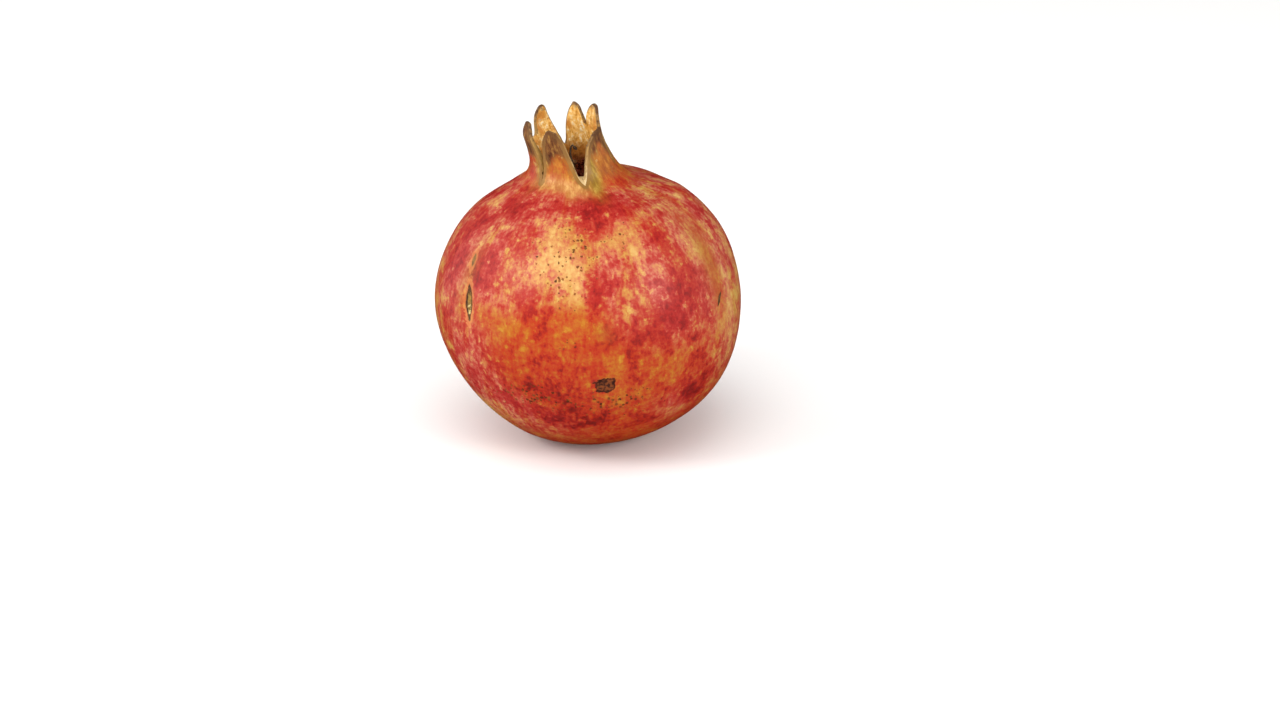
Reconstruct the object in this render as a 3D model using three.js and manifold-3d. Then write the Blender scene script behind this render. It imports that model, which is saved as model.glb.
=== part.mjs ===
// A whole pomegranate standing on its stem end, with its open calyx crown on top.
// Millimetres, +Z up. The origin is the centre of the flat spot that the fruit rests on.
// Azimuths are in degrees, anticlockwise from +X as seen from above; the fruit's front is at -90.
import * as THREE from "three";
import { mergeVertices } from "three/addons/utils/BufferGeometryUtils.js";
import Module from "manifold-3d";

const wasm = await Module();
wasm.setup();

// ---- Body: an oblate ball with a flattened underside ----
const BODY_RADIUS = 44.6;
const BODY_DEPTH = 41.3; // from the equator down to the round underside's lowest point
const BODY_RISE = 42.2; // from the equator up to where the ball's top would be
const REST_CUT = 1.8; // how deep the resting plane cuts into the round underside
const REST_EASE = 0.5; // half the height over which the flat spot turns up into the ball
const EQUATOR_Z = BODY_DEPTH - REST_CUT;
const SHOULDER_RADIUS = 28; // where the ball hands over to the neck
const NECK_LEAVE = 3.4; // how far the neck follows the ball's slope, and then the crown's flare
const NECK_ARRIVE = 1.2;
const RIDGE_COUNT = 6; // blunt meridian ridges with faint flats between them
const RIDGE_AZIMUTH = 2;
const RIDGE_HEIGHT = 0.25;
const RIDGE_TOP_Z = 73.5; // the ridges stand out once more round the neck

// Where the ball is fuller or flatter than round: azimuth, height and how far it stands out,
// over a spread in degrees and in height.
const SWELLS = [
  { azimuth: -6, z: 66, out: 1.3, degrees: 55, height: 15 },
  { azimuth: -15, z: 16, out: 1.2, degrees: 60, height: 17 },
  { azimuth: 200, z: 17, out: -1.45, degrees: 60, height: 18 },
  { azimuth: 180, z: 76, out: -1.3, degrees: 60, height: 5 },
  { azimuth: 0, z: 76, out: 0.4, degrees: 60, height: 5 },
  { azimuth: 120, z: 46, out: 0.6, degrees: 50, height: 22 },
];

// Old injuries in the rind: a slit that healed open, a corky rub mark and small nicks. The tilt
// leans a scar's top towards higher azimuths.
const SCARS = [
  { name: "healed_slit", azimuth: 218.4, z: 49.4, width: 3.0, length: 9.8, tilt: -17, depth: 0.9 },
  { name: "rub_mark", azimuth: -83.8, z: 30.4, width: 5.6, length: 5.3, tilt: 0, depth: 0.3 },
  { name: "nick_left", azimuth: 213.6, z: 60.1, width: 2.2, length: 3.6, tilt: -14, depth: 0.3 },
  { name: "nick_right", azimuth: -30.4, z: 48.3, width: 2.0, length: 4.4, tilt: 40, depth: 0.3 },
];

// ---- Stem end: a dimple in the flat spot, with the cut stub of the stem in it ----
const DIMPLE_RADIUS = 6.2;
const DIMPLE_FLOOR_RADIUS = 2.7;
const DIMPLE_DEPTH = 3.2;
const STUB_RADIUS = 2.0;
const STUB_TOP_RADIUS = 2.4;
const STUB_LENGTH = 2.0;
const STUB_BEVEL = 0.25;
const STUB_SIDES = 20;
const GAP = 0.3; // clearance between neighbouring pieces

// ---- Crown: the calyx tube, split into six lobes ----
const CROWN_BASE_Z = 78;
const CROWN_RADIUS = 10.6;
const CROWN_FLARE = 4.4; // how much wider the tube is at its root
const CROWN_FLARE_HEIGHT = 5;
const CROWN_SPREAD = 1.3; // the fillet below the flare, wider towards +X
const CROWN_SPREAD_HEIGHT = 1.6;
const CROWN_SPREAD_SIDE = 0.5;
const CROWN_OFFSET_X = -3.1; // the tube stands to one side of the body's axis and leans that way
const CROWN_LEAN_X = -4.7;
const CROWN_LEAN_FROM_Z = 77.8;
const CROWN_LEAN_TO_Z = 95.8;
const LIP_THICKNESS = 0.85;
const LIP_ROUND = 0.3;
const LIP_SLOPE = 0.25; // how far the inner edge of the lip drops for each mm of its thickness
const SLIT_LEVEL_Z = 79.8; // the lobes lean, cup and curl from here up
const SLIT_EASE = 0.1; // share of a lobe's height over which a slit opens to its gap
const SILL_RISE = 1.35; // at a slit's bottom the inner edge of the wall stands this much higher
const TIP_CURL_FROM = 0.72;

// Each lobe fills the sector between two slits, starts at the height of its first slit's bottom
// and narrows to its tip. Its edges, at the lower and the higher azimuth, each have a gap (share
// of the half sector that the slit takes), a fullness (high: the edge stays wide and turns in
// late) and a point (1 straight, 0.5 round).
const LOBES = [
  {
    name: "right_front", from: -78.5, to: -8, slitZ: 79.55, tip: -12, topZ: 93.2,
    lean: 0.8, curl: -0.3, cup: -0.008,
    low: { gap: 0, full: 0.83, point: 0.34 }, high: { gap: 0.1, full: 3.0, point: 0.7 },
  },
  {
    name: "right_back", from: -8, to: 46, slitZ: 83.8, tip: 22, topZ: 98.1,
    lean: 1.35, curl: 0.3, cup: 0.012,
    low: { gap: 0.2, full: 2.4, point: 0.55 }, high: { gap: 0.04, full: 1.9, point: 0.42 },
  },
  {
    name: "back", from: 46, to: 99.5, slitZ: 90.5, tip: 66, topZ: 97.7,
    lean: 0, curl: 0.2, cup: 0.015,
    low: { gap: 0.02, full: 2.5, point: 0.7 }, high: { gap: 0, full: 0.92, point: 0.9 },
  },
  {
    name: "left_back", from: 99.5, to: 150, slitZ: 83.7, tip: 121.5, topZ: 97,
    lean: 0, curl: 0.9, cup: 0.012,
    low: { gap: 0, full: 1.1, point: 0.52 }, high: { gap: 0.28, full: 0.6, point: 0.3 },
  },
  {
    name: "left", from: 150, to: 227.5, slitZ: 87.6, tip: 200, topZ: 95.1,
    lean: 0.45, curl: 1.6, cup: 0.008,
    low: { gap: 0.2, full: 1.9, point: 0.5 }, high: { gap: 0.08, full: 1.9, point: 0.5 },
  },
  {
    name: "front", from: 227.5, to: 281.5, slitZ: 79.4, tip: 253, topZ: 94.3,
    lean: -0.1, curl: 0.5, cup: 0.008,
    low: { gap: 0, full: 2.0, point: 0.72 }, high: { gap: 0.29, full: 8, point: 0.65 },
  },
];

// ---- Cup: the hollow inside the crown, with what is left of the flower in it ----
const CUP_ROOT_INSET = 0.6; // the cup narrows a little towards its floor
const CUP_FLOOR_Z = 74.6;
const CUP_FLOOR_RADIUS = 8;
const CUP_TURN = 1.4; // the wall has turned into the floor after 1/1.4 of the way to the centre
const RING_RADIUS = 7.5; // the ring of tissue that the stamens grow from
const RING_WIDTH = 1.6;
const RING_Z = 77.2;
const RING_HEIGHT = 1.1;
const RING_SIDES = 36;
const STAMEN_COUNT = 26;
const STAMEN_SEED = 11;
const STAMEN_HEIGHT = 3.4;
const STAMEN_DRIFT = 26; // degrees that a tip may lie to the side of its root
const STAMEN_NOD = 1.5; // how far the tips nod in towards the style
const FILAMENT_RADIUS = 0.3;
const FILAMENT_SIDES = 5;
const FILAMENT_STEPS = 6;
const ANTHER_LENGTH = 0.85;
const ANTHER_WIDTH = 0.5;
const HOOKED_AZIMUTH = -84; // one long stamen stands up at the open slit, hooked at its top
const STYLE_RADIUS = 0.75;
const STYLE_HEIGHT = 8;
const STYLE_BOW = 1.1;
const STIGMA_RADIUS = 1.3;
const STYLE_SIDES = 12;

// ---- Mesh density ----
const COLUMNS_PER_LOBE = 14;
const COLUMNS = COLUMNS_PER_LOBE * LOBES.length;
const DIMPLE_ROWS = 5;
const BODY_ROWS = 22;
const NECK_ROWS = 6;
const CROWN_ROWS = 10;
const CUP_ROWS = 4;
const EDGE_STEPS = 60;

const rad = THREE.MathUtils.degToRad;
const deg = THREE.MathUtils.radToDeg;
const smooth = THREE.MathUtils.smoothstep;
const lerp = THREE.MathUtils.lerp;

function wrapped(degrees) {
  return THREE.MathUtils.euclideanModulo(degrees + 180, 360) - 180;
}

function bell(x) {
  return Math.exp(-x * x);
}

function polarPoint(centreX, radius, azimuth, z) {
  const angle = rad(azimuth);
  return new THREE.Vector3(centreX + radius * Math.cos(angle), radius * Math.sin(angle), z);
}

// ---- Body ----

// The height above the resting plane of the ball's underside, eased into the flat spot.
function restedHeight(z) {
  if (z <= -REST_EASE) return 0;
  if (z >= REST_EASE) return z;
  return (z + REST_EASE) ** 2 / (4 * REST_EASE);
}

function ridgeRelief(azimuth, reach, z) {
  const wave = Math.cos(RIDGE_COUNT * rad(azimuth - RIDGE_AZIMUTH));
  const flanks = reach * smooth(z, 20, 60);
  const roundNeck = bell((z - RIDGE_TOP_Z) / 5.5);
  return RIDGE_HEIGHT * wave * (flanks + roundNeck);
}

function scarRelief(scar, azimuth, radius, z) {
  const aside = rad(wrapped(azimuth - scar.azimuth)) * radius;
  const up = z - scar.z;
  const tilt = rad(scar.tilt);
  const across = aside * Math.cos(tilt) - up * Math.sin(tilt);
  const along = up * Math.cos(tilt) + aside * Math.sin(tilt);
  return -scar.depth * bell((1.6 * across) / scar.width) * bell((1.8 * along) / scar.length);
}

// How far the rind stands out from the plain ball.
function bodyRelief(azimuth, radius, z) {
  const reach = radius / BODY_RADIUS;
  let out = ridgeRelief(azimuth, reach, z);
  for (const swell of SWELLS) {
    const aside = wrapped(azimuth - swell.azimuth) / swell.degrees;
    out += swell.out * reach * bell(aside) * bell((z - swell.z) / swell.height);
  }
  for (const scar of SCARS) out += scarRelief(scar, azimuth, radius, z);
  return out * smooth(z, 0.5, 8);
}

function dimpleHeight(radius) {
  return DIMPLE_DEPTH * (1 - smooth(radius, DIMPLE_FLOOR_RADIUS, DIMPLE_RADIUS));
}

// The ball's plain profile at a polar angle from straight down.
function ballRadius(polar) {
  return BODY_RADIUS * Math.sin(polar);
}

function ballHeight(polar) {
  if (polar > Math.PI / 2) return EQUATOR_Z - BODY_RISE * Math.cos(polar);
  return restedHeight(BODY_DEPTH * (1 - Math.cos(polar)) - REST_CUT);
}

// A point of the body or neck, moved by its relief away from the middle of the ball.
function rindPoint(azimuth, radius, z, reliefShare, centreX) {
  const relief = bodyRelief(azimuth, radius, z) * reliefShare;
  const fromMiddle = Math.hypot(radius, z - EQUATOR_Z);
  const grownRadius = radius + (relief * radius) / fromMiddle;
  const grownZ = z + (relief * (z - EQUATOR_Z)) / fromMiddle;
  return polarPoint(centreX, grownRadius, azimuth, grownZ);
}

// ---- Crown ----

function crownCentreX(z) {
  return CROWN_OFFSET_X + CROWN_LEAN_X * smooth(z, CROWN_LEAN_FROM_Z, CROWN_LEAN_TO_Z);
}

function rootShare(z) {
  return Math.exp(-(z - CROWN_BASE_Z) / CROWN_FLARE_HEIGHT);
}

function crownSpread(azimuth) {
  return CROWN_SPREAD * (1 + CROWN_SPREAD_SIDE * Math.cos(rad(azimuth)));
}

function outerRadius(azimuth, z) {
  const fillet = crownSpread(azimuth) * Math.exp(-(z - CROWN_BASE_Z) / CROWN_SPREAD_HEIGHT);
  return CROWN_RADIUS + CROWN_FLARE * rootShare(z) + fillet;
}

function innerRadius(z) {
  return CROWN_RADIUS - LIP_THICKNESS - CUP_ROOT_INSET * rootShare(z);
}

// The azimuth of a lobe's edge at a share of its height, on its lower (-1) or higher (+1) side.
function edgeAzimuth(lobe, side, share) {
  const edge = side < 0 ? lobe.low : lobe.high;
  const slit = side < 0 ? lobe.from : lobe.to;
  const opened = 1 - edge.gap * (1 - Math.exp(-share / SLIT_EASE));
  return lobe.tip + (slit - lobe.tip) * opened * (1 - share ** edge.full) ** edge.point;
}

// One edge of a lobe from its slit to its tip, unrolled: (arc in mm, height).
function edgeCurve(lobe, side, slitZ) {
  const points = [];
  for (let i = 0; i <= EDGE_STEPS; i++) {
    const share = Math.sin((i / EDGE_STEPS) * (Math.PI / 2));
    const arc = rad(edgeAzimuth(lobe, side, share)) * CROWN_RADIUS;
    points.push(new THREE.Vector2(arc, lerp(slitZ, lobe.topZ, share)));
  }
  return points;
}

function edgeLength(points) {
  return points.slice(1).reduce((sum, point, i) => sum + point.distanceTo(points[i]), 0);
}

// Points at even distances along an edge.
function spaced(points, count) {
  const stride = edgeLength(points) / count;
  const found = [points[0].clone()];
  let passed = 0;
  for (let i = 1; i < points.length; i++) {
    const step = points[i].distanceTo(points[i - 1]);
    while (found.length < count && passed + step >= stride * found.length) {
      const share = (stride * found.length - passed) / step;
      found.push(points[i - 1].clone().lerp(points[i], share));
    }
    passed += step;
  }
  found.push(points[points.length - 1].clone());
  return found;
}

// The rim of one lobe, from its first slit over the tip down to the next slit. Each point also
// holds the height of the inner edge at the nearer slit's bottom.
function lobeRim(lobe, nextSlitZ) {
  const low = edgeCurve(lobe, -1, lobe.slitZ);
  const high = edgeCurve(lobe, 1, nextSlitZ);
  const lowShare = edgeLength(low) / (edgeLength(low) + edgeLength(high));
  const lowCount = Math.round(COLUMNS_PER_LOBE * lowShare);
  const rising = spaced(low, lowCount);
  const falling = spaced(high, COLUMNS_PER_LOBE - lowCount).reverse().slice(1);
  return [
    ...rising.map((point) => ({ point, sillZ: lobe.slitZ + SILL_RISE })),
    ...falling.map((point) => ({ point, sillZ: nextSlitZ + SILL_RISE })),
  ];
}

// Every column of the mesh: its azimuth on the body and where it ends on the crown's rim.
function crownColumns() {
  const columns = [];
  LOBES.forEach((lobe, k) => {
    const rim = lobeRim(lobe, LOBES[(k + 1) % LOBES.length].slitZ);
    for (let i = 0; i < COLUMNS_PER_LOBE; i++) {
      const azimuth = lerp(lobe.from, lobe.to, i / COLUMNS_PER_LOBE);
      const { point, sillZ } = rim[i];
      columns.push({ lobe, azimuth, rimAzimuth: deg(point.x / CROWN_RADIUS), rimZ: point.y, sillZ });
    }
  });
  columns.forEach((column, i) => {
    const before = columns[(i + COLUMNS - 1) % COLUMNS];
    const after = columns[(i + 1) % COLUMNS];
    const arc = rad(wrapped(after.rimAzimuth - before.rimAzimuth)) * CROWN_RADIUS;
    column.lipTurn = new THREE.Vector2(before.rimZ - after.rimZ, arc).normalize();
  });
  return columns;
}

// A point of the crown's wall; inward is 0 on its outer face and 1 on its inner face.
function wallPoint(lobe, azimuth, z, inward) {
  const share = THREE.MathUtils.clamp((z - SLIT_LEVEL_Z) / (lobe.topZ - SLIT_LEVEL_Z), 0, 1);
  const aside = rad(wrapped(azimuth - lobe.tip)) * CROWN_RADIUS;
  const lean = lobe.lean * share ** 1.5 - lobe.curl * smooth(share, TIP_CURL_FROM, 1);
  const wall = lerp(outerRadius(azimuth, z), innerRadius(z), inward);
  const radius = wall + lean - lobe.cup * aside * aside * share;
  return polarPoint(crownCentreX(z), radius, azimuth, z);
}

// ---- The rows of the rind's profile, each placing one point in each column ----

function dimpleRow(share) {
  const radius = DIMPLE_RADIUS * share;
  return (column) => polarPoint(0, radius, column.azimuth, dimpleHeight(radius));
}

function bodyRow(share) {
  const first = Math.asin(DIMPLE_RADIUS / BODY_RADIUS);
  const last = Math.PI - Math.asin(SHOULDER_RADIUS / BODY_RADIUS);
  const polar = lerp(first, last, share);
  return (column) => rindPoint(column.azimuth, ballRadius(polar), ballHeight(polar), 1, 0);
}

// The neck leaves the shoulder along the ball's slope and reaches the crown along its flare.
function neckRow(share) {
  const rise = BODY_RISE * Math.sqrt(1 - (SHOULDER_RADIUS / BODY_RADIUS) ** 2);
  const slope = (BODY_RISE / BODY_RADIUS) ** 2 * (SHOULDER_RADIUS / rise);
  const start = new THREE.Vector2(SHOULDER_RADIUS, EQUATOR_Z + rise);
  const leave = new THREE.Vector2(-1, slope).multiplyScalar(NECK_LEAVE);
  const toCrown = smooth(share, 0, 1);
  return (column) => {
    const fillet = crownSpread(column.azimuth) / CROWN_SPREAD_HEIGHT;
    const flare = CROWN_FLARE / CROWN_FLARE_HEIGHT + fillet;
    const end = new THREE.Vector2(outerRadius(column.azimuth, CROWN_BASE_Z), CROWN_BASE_Z);
    const arrive = new THREE.Vector2(-flare, 1).multiplyScalar(NECK_ARRIVE);
    const bends = [start.clone().add(leave), end.clone().sub(arrive)];
    const at = new THREE.CubicBezierCurve(start, ...bends, end).getPoint(share);
    return rindPoint(column.azimuth, at.x, at.y, 1 - toCrown, CROWN_OFFSET_X * toCrown);
  };
}

function outerRow(share) {
  return (column) => {
    const z = lerp(CROWN_BASE_Z, column.rimZ, share);
    return wallPoint(column.lobe, lerp(column.azimuth, column.rimAzimuth, share), z, 0);
  };
}

// The inner edge lies a little lower than the outer one, but stays above the sill at a slit.
function innerRimHeight({ rimAzimuth, rimZ, sillZ }) {
  const thickness = outerRadius(rimAzimuth, rimZ) - innerRadius(rimZ);
  return Math.max(rimZ - LIP_SLOPE * thickness, sillZ);
}

function lipRow() {
  return (column) => {
    const { lobe, rimAzimuth, rimZ, lipTurn } = column;
    const azimuth = rimAzimuth + deg((LIP_ROUND * lipTurn.x) / CROWN_RADIUS);
    const z = lerp(rimZ, innerRimHeight(column), 0.5);
    return wallPoint(lobe, azimuth, z + LIP_ROUND * lipTurn.y, 0.5);
  };
}

function innerRow(share) {
  return (column) => {
    const azimuth = lerp(column.azimuth, column.rimAzimuth, share);
    const z = lerp(CROWN_BASE_Z, innerRimHeight(column), share);
    return wallPoint(column.lobe, azimuth, z, 1);
  };
}

function cupRow(share) {
  const turn = (Math.PI / 2) * Math.min(share * CUP_TURN, 1);
  const floorRadius = CUP_FLOOR_RADIUS * (1 - share);
  const radius = share < 1 ? lerp(innerRadius(CROWN_BASE_Z), floorRadius, 1 - Math.cos(turn)) : 0;
  const z = lerp(CROWN_BASE_Z, CUP_FLOOR_Z, Math.sin(turn));
  return (column) => polarPoint(crownCentreX(z), radius, column.azimuth, z);
}

// Rows at even shares of a zone, from the first share to the last.
function rows(makeRow, count, first, last) {
  return Array.from({ length: count }, (_, i) => makeRow(lerp(first, last, i / (count - 1))));
}

function rindRows() {
  return [
    ...rows(dimpleRow, DIMPLE_ROWS, 0, 1 - 1 / DIMPLE_ROWS),
    ...rows(bodyRow, BODY_ROWS + 1, 0, 1),
    ...rows(neckRow, NECK_ROWS, 1 / NECK_ROWS, 1),
    ...rows(outerRow, CROWN_ROWS, 1 / CROWN_ROWS, 1),
    lipRow(),
    ...rows(innerRow, CROWN_ROWS + 1, 1, 0),
    ...rows(cupRow, CUP_ROWS, 1 / CUP_ROWS, 1),
  ];
}

// ---- Geometry helpers ----

// The geometry with its shared points merged, so that it is one closed surface.
function closed(geometry) {
  const bare = geometry.clone();
  bare.deleteAttribute("normal");
  bare.deleteAttribute("uv");
  const merged = mergeVertices(bare, 1e-4);
  merged.computeVertexNormals();
  return merged;
}

function solid(geometry) {
  const merged = closed(geometry);
  const mesh = new wasm.Mesh({
    numProp: 3,
    vertProperties: merged.getAttribute("position").array,
    triVerts: new Uint32Array(merged.index.array),
  });
  return new wasm.Manifold(mesh);
}

function geometryOf(joined) {
  const mesh = joined.getMesh();
  const geometry = new THREE.BufferGeometry();
  geometry.setAttribute("position", new THREE.BufferAttribute(mesh.vertProperties, 3));
  geometry.setIndex(new THREE.BufferAttribute(mesh.triVerts, 1));
  geometry.computeVertexNormals();
  return geometry;
}

// A lathe about +Z from a profile of [radius, height] pairs, listed from below upwards.
function turned(profile, sides) {
  const points = profile.map(([radius, z]) => new THREE.Vector2(radius, z));
  return new THREE.LatheGeometry(points, sides).rotateX(Math.PI / 2);
}

// The same sequence of numbers from 0 to 1 on every run.
function seededRandom(seed) {
  let state = seed;
  return () => {
    state = (state * 1103515245 + 12345) % 2147483648;
    return state / 2147483648;
  };
}

// ---- Fruit: rind, neck and crown, grown as one ----

// A lathe lists its points column by column, and each is moved to its grown place.
function fruitGeometry() {
  const columns = crownColumns();
  const placeRows = rindRows();
  const last = placeRows.length - 1;
  const profile = placeRows.map((_, i) => new THREE.Vector2(i > 0 && i < last ? BODY_RADIUS : 0, i));
  const lathe = new THREE.LatheGeometry(profile, COLUMNS);
  const position = lathe.getAttribute("position");
  for (let i = 0; i < position.count; i++) {
    const column = columns[Math.floor(i / placeRows.length) % COLUMNS];
    const { x, y, z } = placeRows[i % placeRows.length](column);
    position.setXYZ(i, x, y, z);
  }
  return closed(lathe);
}

// ---- Dried stamens: filaments with anthers, fused to their ring ----

function ringGeometry() {
  const half = RING_WIDTH / 2;
  const profile = [
    [RING_RADIUS - half, RING_Z - RING_HEIGHT / 2],
    [RING_RADIUS + half, RING_Z - RING_HEIGHT / 2],
    [RING_RADIUS + half, RING_Z],
    [RING_RADIUS, RING_Z + RING_HEIGHT / 2],
    [RING_RADIUS - half, RING_Z],
    [RING_RADIUS - half, RING_Z - RING_HEIGHT / 2],
  ];
  return turned(profile, RING_SIDES).translate(crownCentreX(RING_Z), 0, 0);
}

function filamentGeometry(path) {
  const section = new THREE.Shape();
  for (let i = 0; i < FILAMENT_SIDES; i++) {
    const angle = (i / FILAMENT_SIDES) * 2 * Math.PI;
    const x = FILAMENT_RADIUS * Math.cos(angle);
    const y = FILAMENT_RADIUS * Math.sin(angle);
    if (i === 0) section.moveTo(x, y);
    else section.lineTo(x, y);
  }
  return new THREE.ExtrudeGeometry(section, { steps: FILAMENT_STEPS, extrudePath: path });
}

function antherGeometry(at, along) {
  const up = new THREE.Vector3(0, 1, 0);
  const turn = new THREE.Quaternion().setFromUnitVectors(up, along.normalize());
  return new THREE.SphereGeometry(1, 6, 4)
    .scale(ANTHER_WIDTH, ANTHER_LENGTH, ANTHER_WIDTH * 0.8)
    .applyQuaternion(turn)
    .translate(at.x, at.y, at.z);
}

// A stamen from the ring up along the cup's wall: points as (radius, azimuth, height).
function stamenPath(places) {
  const points = places.map(([r, azimuth, z]) => polarPoint(crownCentreX(z), r, azimuth, z));
  return new THREE.CatmullRomCurve3(points);
}

function stamenPaths() {
  const random = seededRandom(STAMEN_SEED);
  const paths = [];
  for (let i = 0; i < STAMEN_COUNT; i++) {
    const azimuth = HOOKED_AZIMUTH + (360 * (i + 0.9 + 0.4 * random())) / (STAMEN_COUNT + 0.9);
    const height = STAMEN_HEIGHT * (0.55 + 0.6 * random());
    const drift = STAMEN_DRIFT * (random() - 0.5);
    const reach = RING_RADIUS + 0.8 * random();
    const nod = STAMEN_NOD * (0.6 + 0.8 * random());
    paths.push(
      stamenPath([
        [RING_RADIUS, azimuth, RING_Z - 0.2],
        [reach, azimuth + drift * 0.3, RING_Z + height * 0.55],
        [reach - nod * 0.3, azimuth + drift * 0.7, RING_Z + height],
        [reach - nod, azimuth + drift, RING_Z + height + 0.7],
      ]),
    );
  }
  return paths;
}

function stamenSolid(path) {
  const anther = antherGeometry(path.getPoint(1), path.getTangent(1));
  return solid(filamentGeometry(path)).add(solid(anther));
}

function stamensGeometry() {
  let joined = solid(ringGeometry());
  for (const path of stamenPaths()) joined = joined.add(stamenSolid(path));
  return geometryOf(joined);
}

// ---- Hooked stamen: the one that has stayed long, standing on the ring at the open slit ----

function hookedStamenGeometry() {
  const path = stamenPath([
    [RING_RADIUS, HOOKED_AZIMUTH, RING_Z + RING_HEIGHT / 2 + GAP],
    [8.3, HOOKED_AZIMUTH - 3, 82],
    [8.4, HOOKED_AZIMUTH - 1.5, 85],
    [8.4, HOOKED_AZIMUTH + 1, 87.1],
    [8.4, HOOKED_AZIMUTH + 6.5, 88.9],
    [8.4, HOOKED_AZIMUTH + 12, 89.7],
    [8.4, HOOKED_AZIMUTH + 15.5, 88.9],
  ]);
  return geometryOf(stamenSolid(path));
}

// ---- Dried style: the bowed stalk in the middle of the cup, with its stigma on top ----

function styleGeometry() {
  const foot = CUP_FLOOR_Z + GAP;
  const top = foot + STYLE_HEIGHT;
  const neck = top - STIGMA_RADIUS;
  const profile = [
    [0, foot],
    [STYLE_RADIUS * 1.5, foot],
    [STYLE_RADIUS * 1.2, foot + 0.9],
    [STYLE_RADIUS, foot + 2.4],
    [STYLE_RADIUS * 0.9, lerp(foot, neck, 0.7)],
    [STYLE_RADIUS, neck - 0.2],
    [STIGMA_RADIUS * 0.9, neck + 0.3],
    [STIGMA_RADIUS, neck + 0.8],
    [STIGMA_RADIUS * 0.6, top],
    [0, top - 0.2],
  ];
  const style = turned(profile, STYLE_SIDES);
  const position = style.getAttribute("position");
  for (let i = 0; i < position.count; i++) {
    const rise = (position.getZ(i) - foot) / STYLE_HEIGHT;
    position.setX(i, position.getX(i) + CROWN_OFFSET_X - STYLE_BOW * rise * rise);
  }
  return closed(style);
}

// ---- Stem stub: the cut end of the stem, up inside the dimple ----

function stubGeometry() {
  const top = DIMPLE_DEPTH - GAP;
  const cut = top - STUB_LENGTH;
  const profile = [
    [0, cut],
    [STUB_RADIUS - STUB_BEVEL, cut],
    [STUB_RADIUS, cut + STUB_BEVEL],
    [STUB_RADIUS, lerp(cut, top, 0.6)],
    [STUB_TOP_RADIUS, top],
    [0, top],
  ];
  return closed(turned(profile, STUB_SIDES));
}

// ---- Assembly ----

function named(name, geometry, color, roughness) {
  const material = new THREE.MeshStandardMaterial({ color, roughness, metalness: 0 });
  const mesh = new THREE.Mesh(geometry, material);
  mesh.name = name;
  return mesh;
}

const pomegranate = new THREE.Group();
pomegranate.add(
  named("fruit", fruitGeometry(), "#c8502f", 0.48),
  named("dried_stamens", stamensGeometry(), "#5a3a1e", 0.85),
  named("hooked_stamen", hookedStamenGeometry(), "#2e2418", 0.85),
  named("dried_style", styleGeometry(), "#6b4826", 0.85),
  named("stem_stub", stubGeometry(), "#7a5c3c", 0.9),
);

export default pomegranate;
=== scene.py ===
"""A ripe pomegranate standing on its stem end, with its calyx crown open.

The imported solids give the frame. The fruit, its dried stamens, its style and its stem stub are
modelled again here as finer pieces of the same form, each in its node's place, with the finish
that the solids leave out. Lengths are in millimetres until a piece is placed, and azimuths in
degrees, anticlockwise from +X as seen from above, with the fruit's front at -90.
"""

import math
import random
from collections import namedtuple
from types import SimpleNamespace

import bpy
import numpy as np
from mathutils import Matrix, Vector, noise


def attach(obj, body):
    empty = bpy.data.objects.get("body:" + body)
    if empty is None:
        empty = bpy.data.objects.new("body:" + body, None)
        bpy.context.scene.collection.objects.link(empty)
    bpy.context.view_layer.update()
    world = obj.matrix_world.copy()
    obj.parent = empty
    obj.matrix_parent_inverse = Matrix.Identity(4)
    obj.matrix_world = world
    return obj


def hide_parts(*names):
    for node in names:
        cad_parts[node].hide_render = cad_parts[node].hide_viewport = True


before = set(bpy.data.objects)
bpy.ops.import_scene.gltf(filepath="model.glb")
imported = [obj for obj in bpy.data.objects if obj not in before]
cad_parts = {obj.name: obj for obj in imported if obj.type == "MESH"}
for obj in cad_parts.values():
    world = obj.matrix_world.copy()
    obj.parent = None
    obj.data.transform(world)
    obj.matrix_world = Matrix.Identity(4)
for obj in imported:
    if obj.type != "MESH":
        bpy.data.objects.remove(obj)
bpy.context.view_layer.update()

MM = 0.001
FRONT_AZIMUTH = -90

# ---- Body: an oblate ball with a flattened underside ----
BODY_RADIUS = 44.6
BODY_DEPTH = 41.3  # from the equator down to the round underside's lowest point
BODY_RISE = 42.2  # from the equator up to where the ball's top would be
REST_CUT = 1.8  # how much the flat spot takes off the ball's height
REST_EASE = 0.5  # how softly it meets the ball
EQUATOR_Z = BODY_DEPTH - REST_CUT
SHOULDER_RADIUS = 28  # where the ball hands over to the neck
NECK_LEAVE = 3.4  # how long the neck's curve holds the shoulder's slope
NECK_ARRIVE = 1.2  # and how far ahead it takes up the crown's
RIDGE_COUNT = 6
RIDGE_AZIMUTH = 2
RIDGE_HEIGHT = 0.25
RIDGE_FROM_Z = 20
RIDGE_FULL_Z = 60
RIDGE_TOP_Z = 73.5  # the ridges stand out once more round here, below the neck
RIDGE_TOP_SPREAD = 5.5
RELIEF_FROM_Z = 0.5  # the flat spot under the fruit has no relief
RELIEF_FULL_Z = 8

# Where the ball is fuller or flatter than round: azimuth, height, how far it stands out, and its
# spread in degrees and in height.
SWELLS = (
    (-6, 66, 1.3, 55, 15),
    (-15, 16, 1.2, 60, 17),
    (200, 17, -1.45, 60, 18),
    (180, 76, -1.3, 60, 5),
    (0, 76, 0.4, 60, 5),
    (120, 46, 0.6, 50, 22),
)

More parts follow.
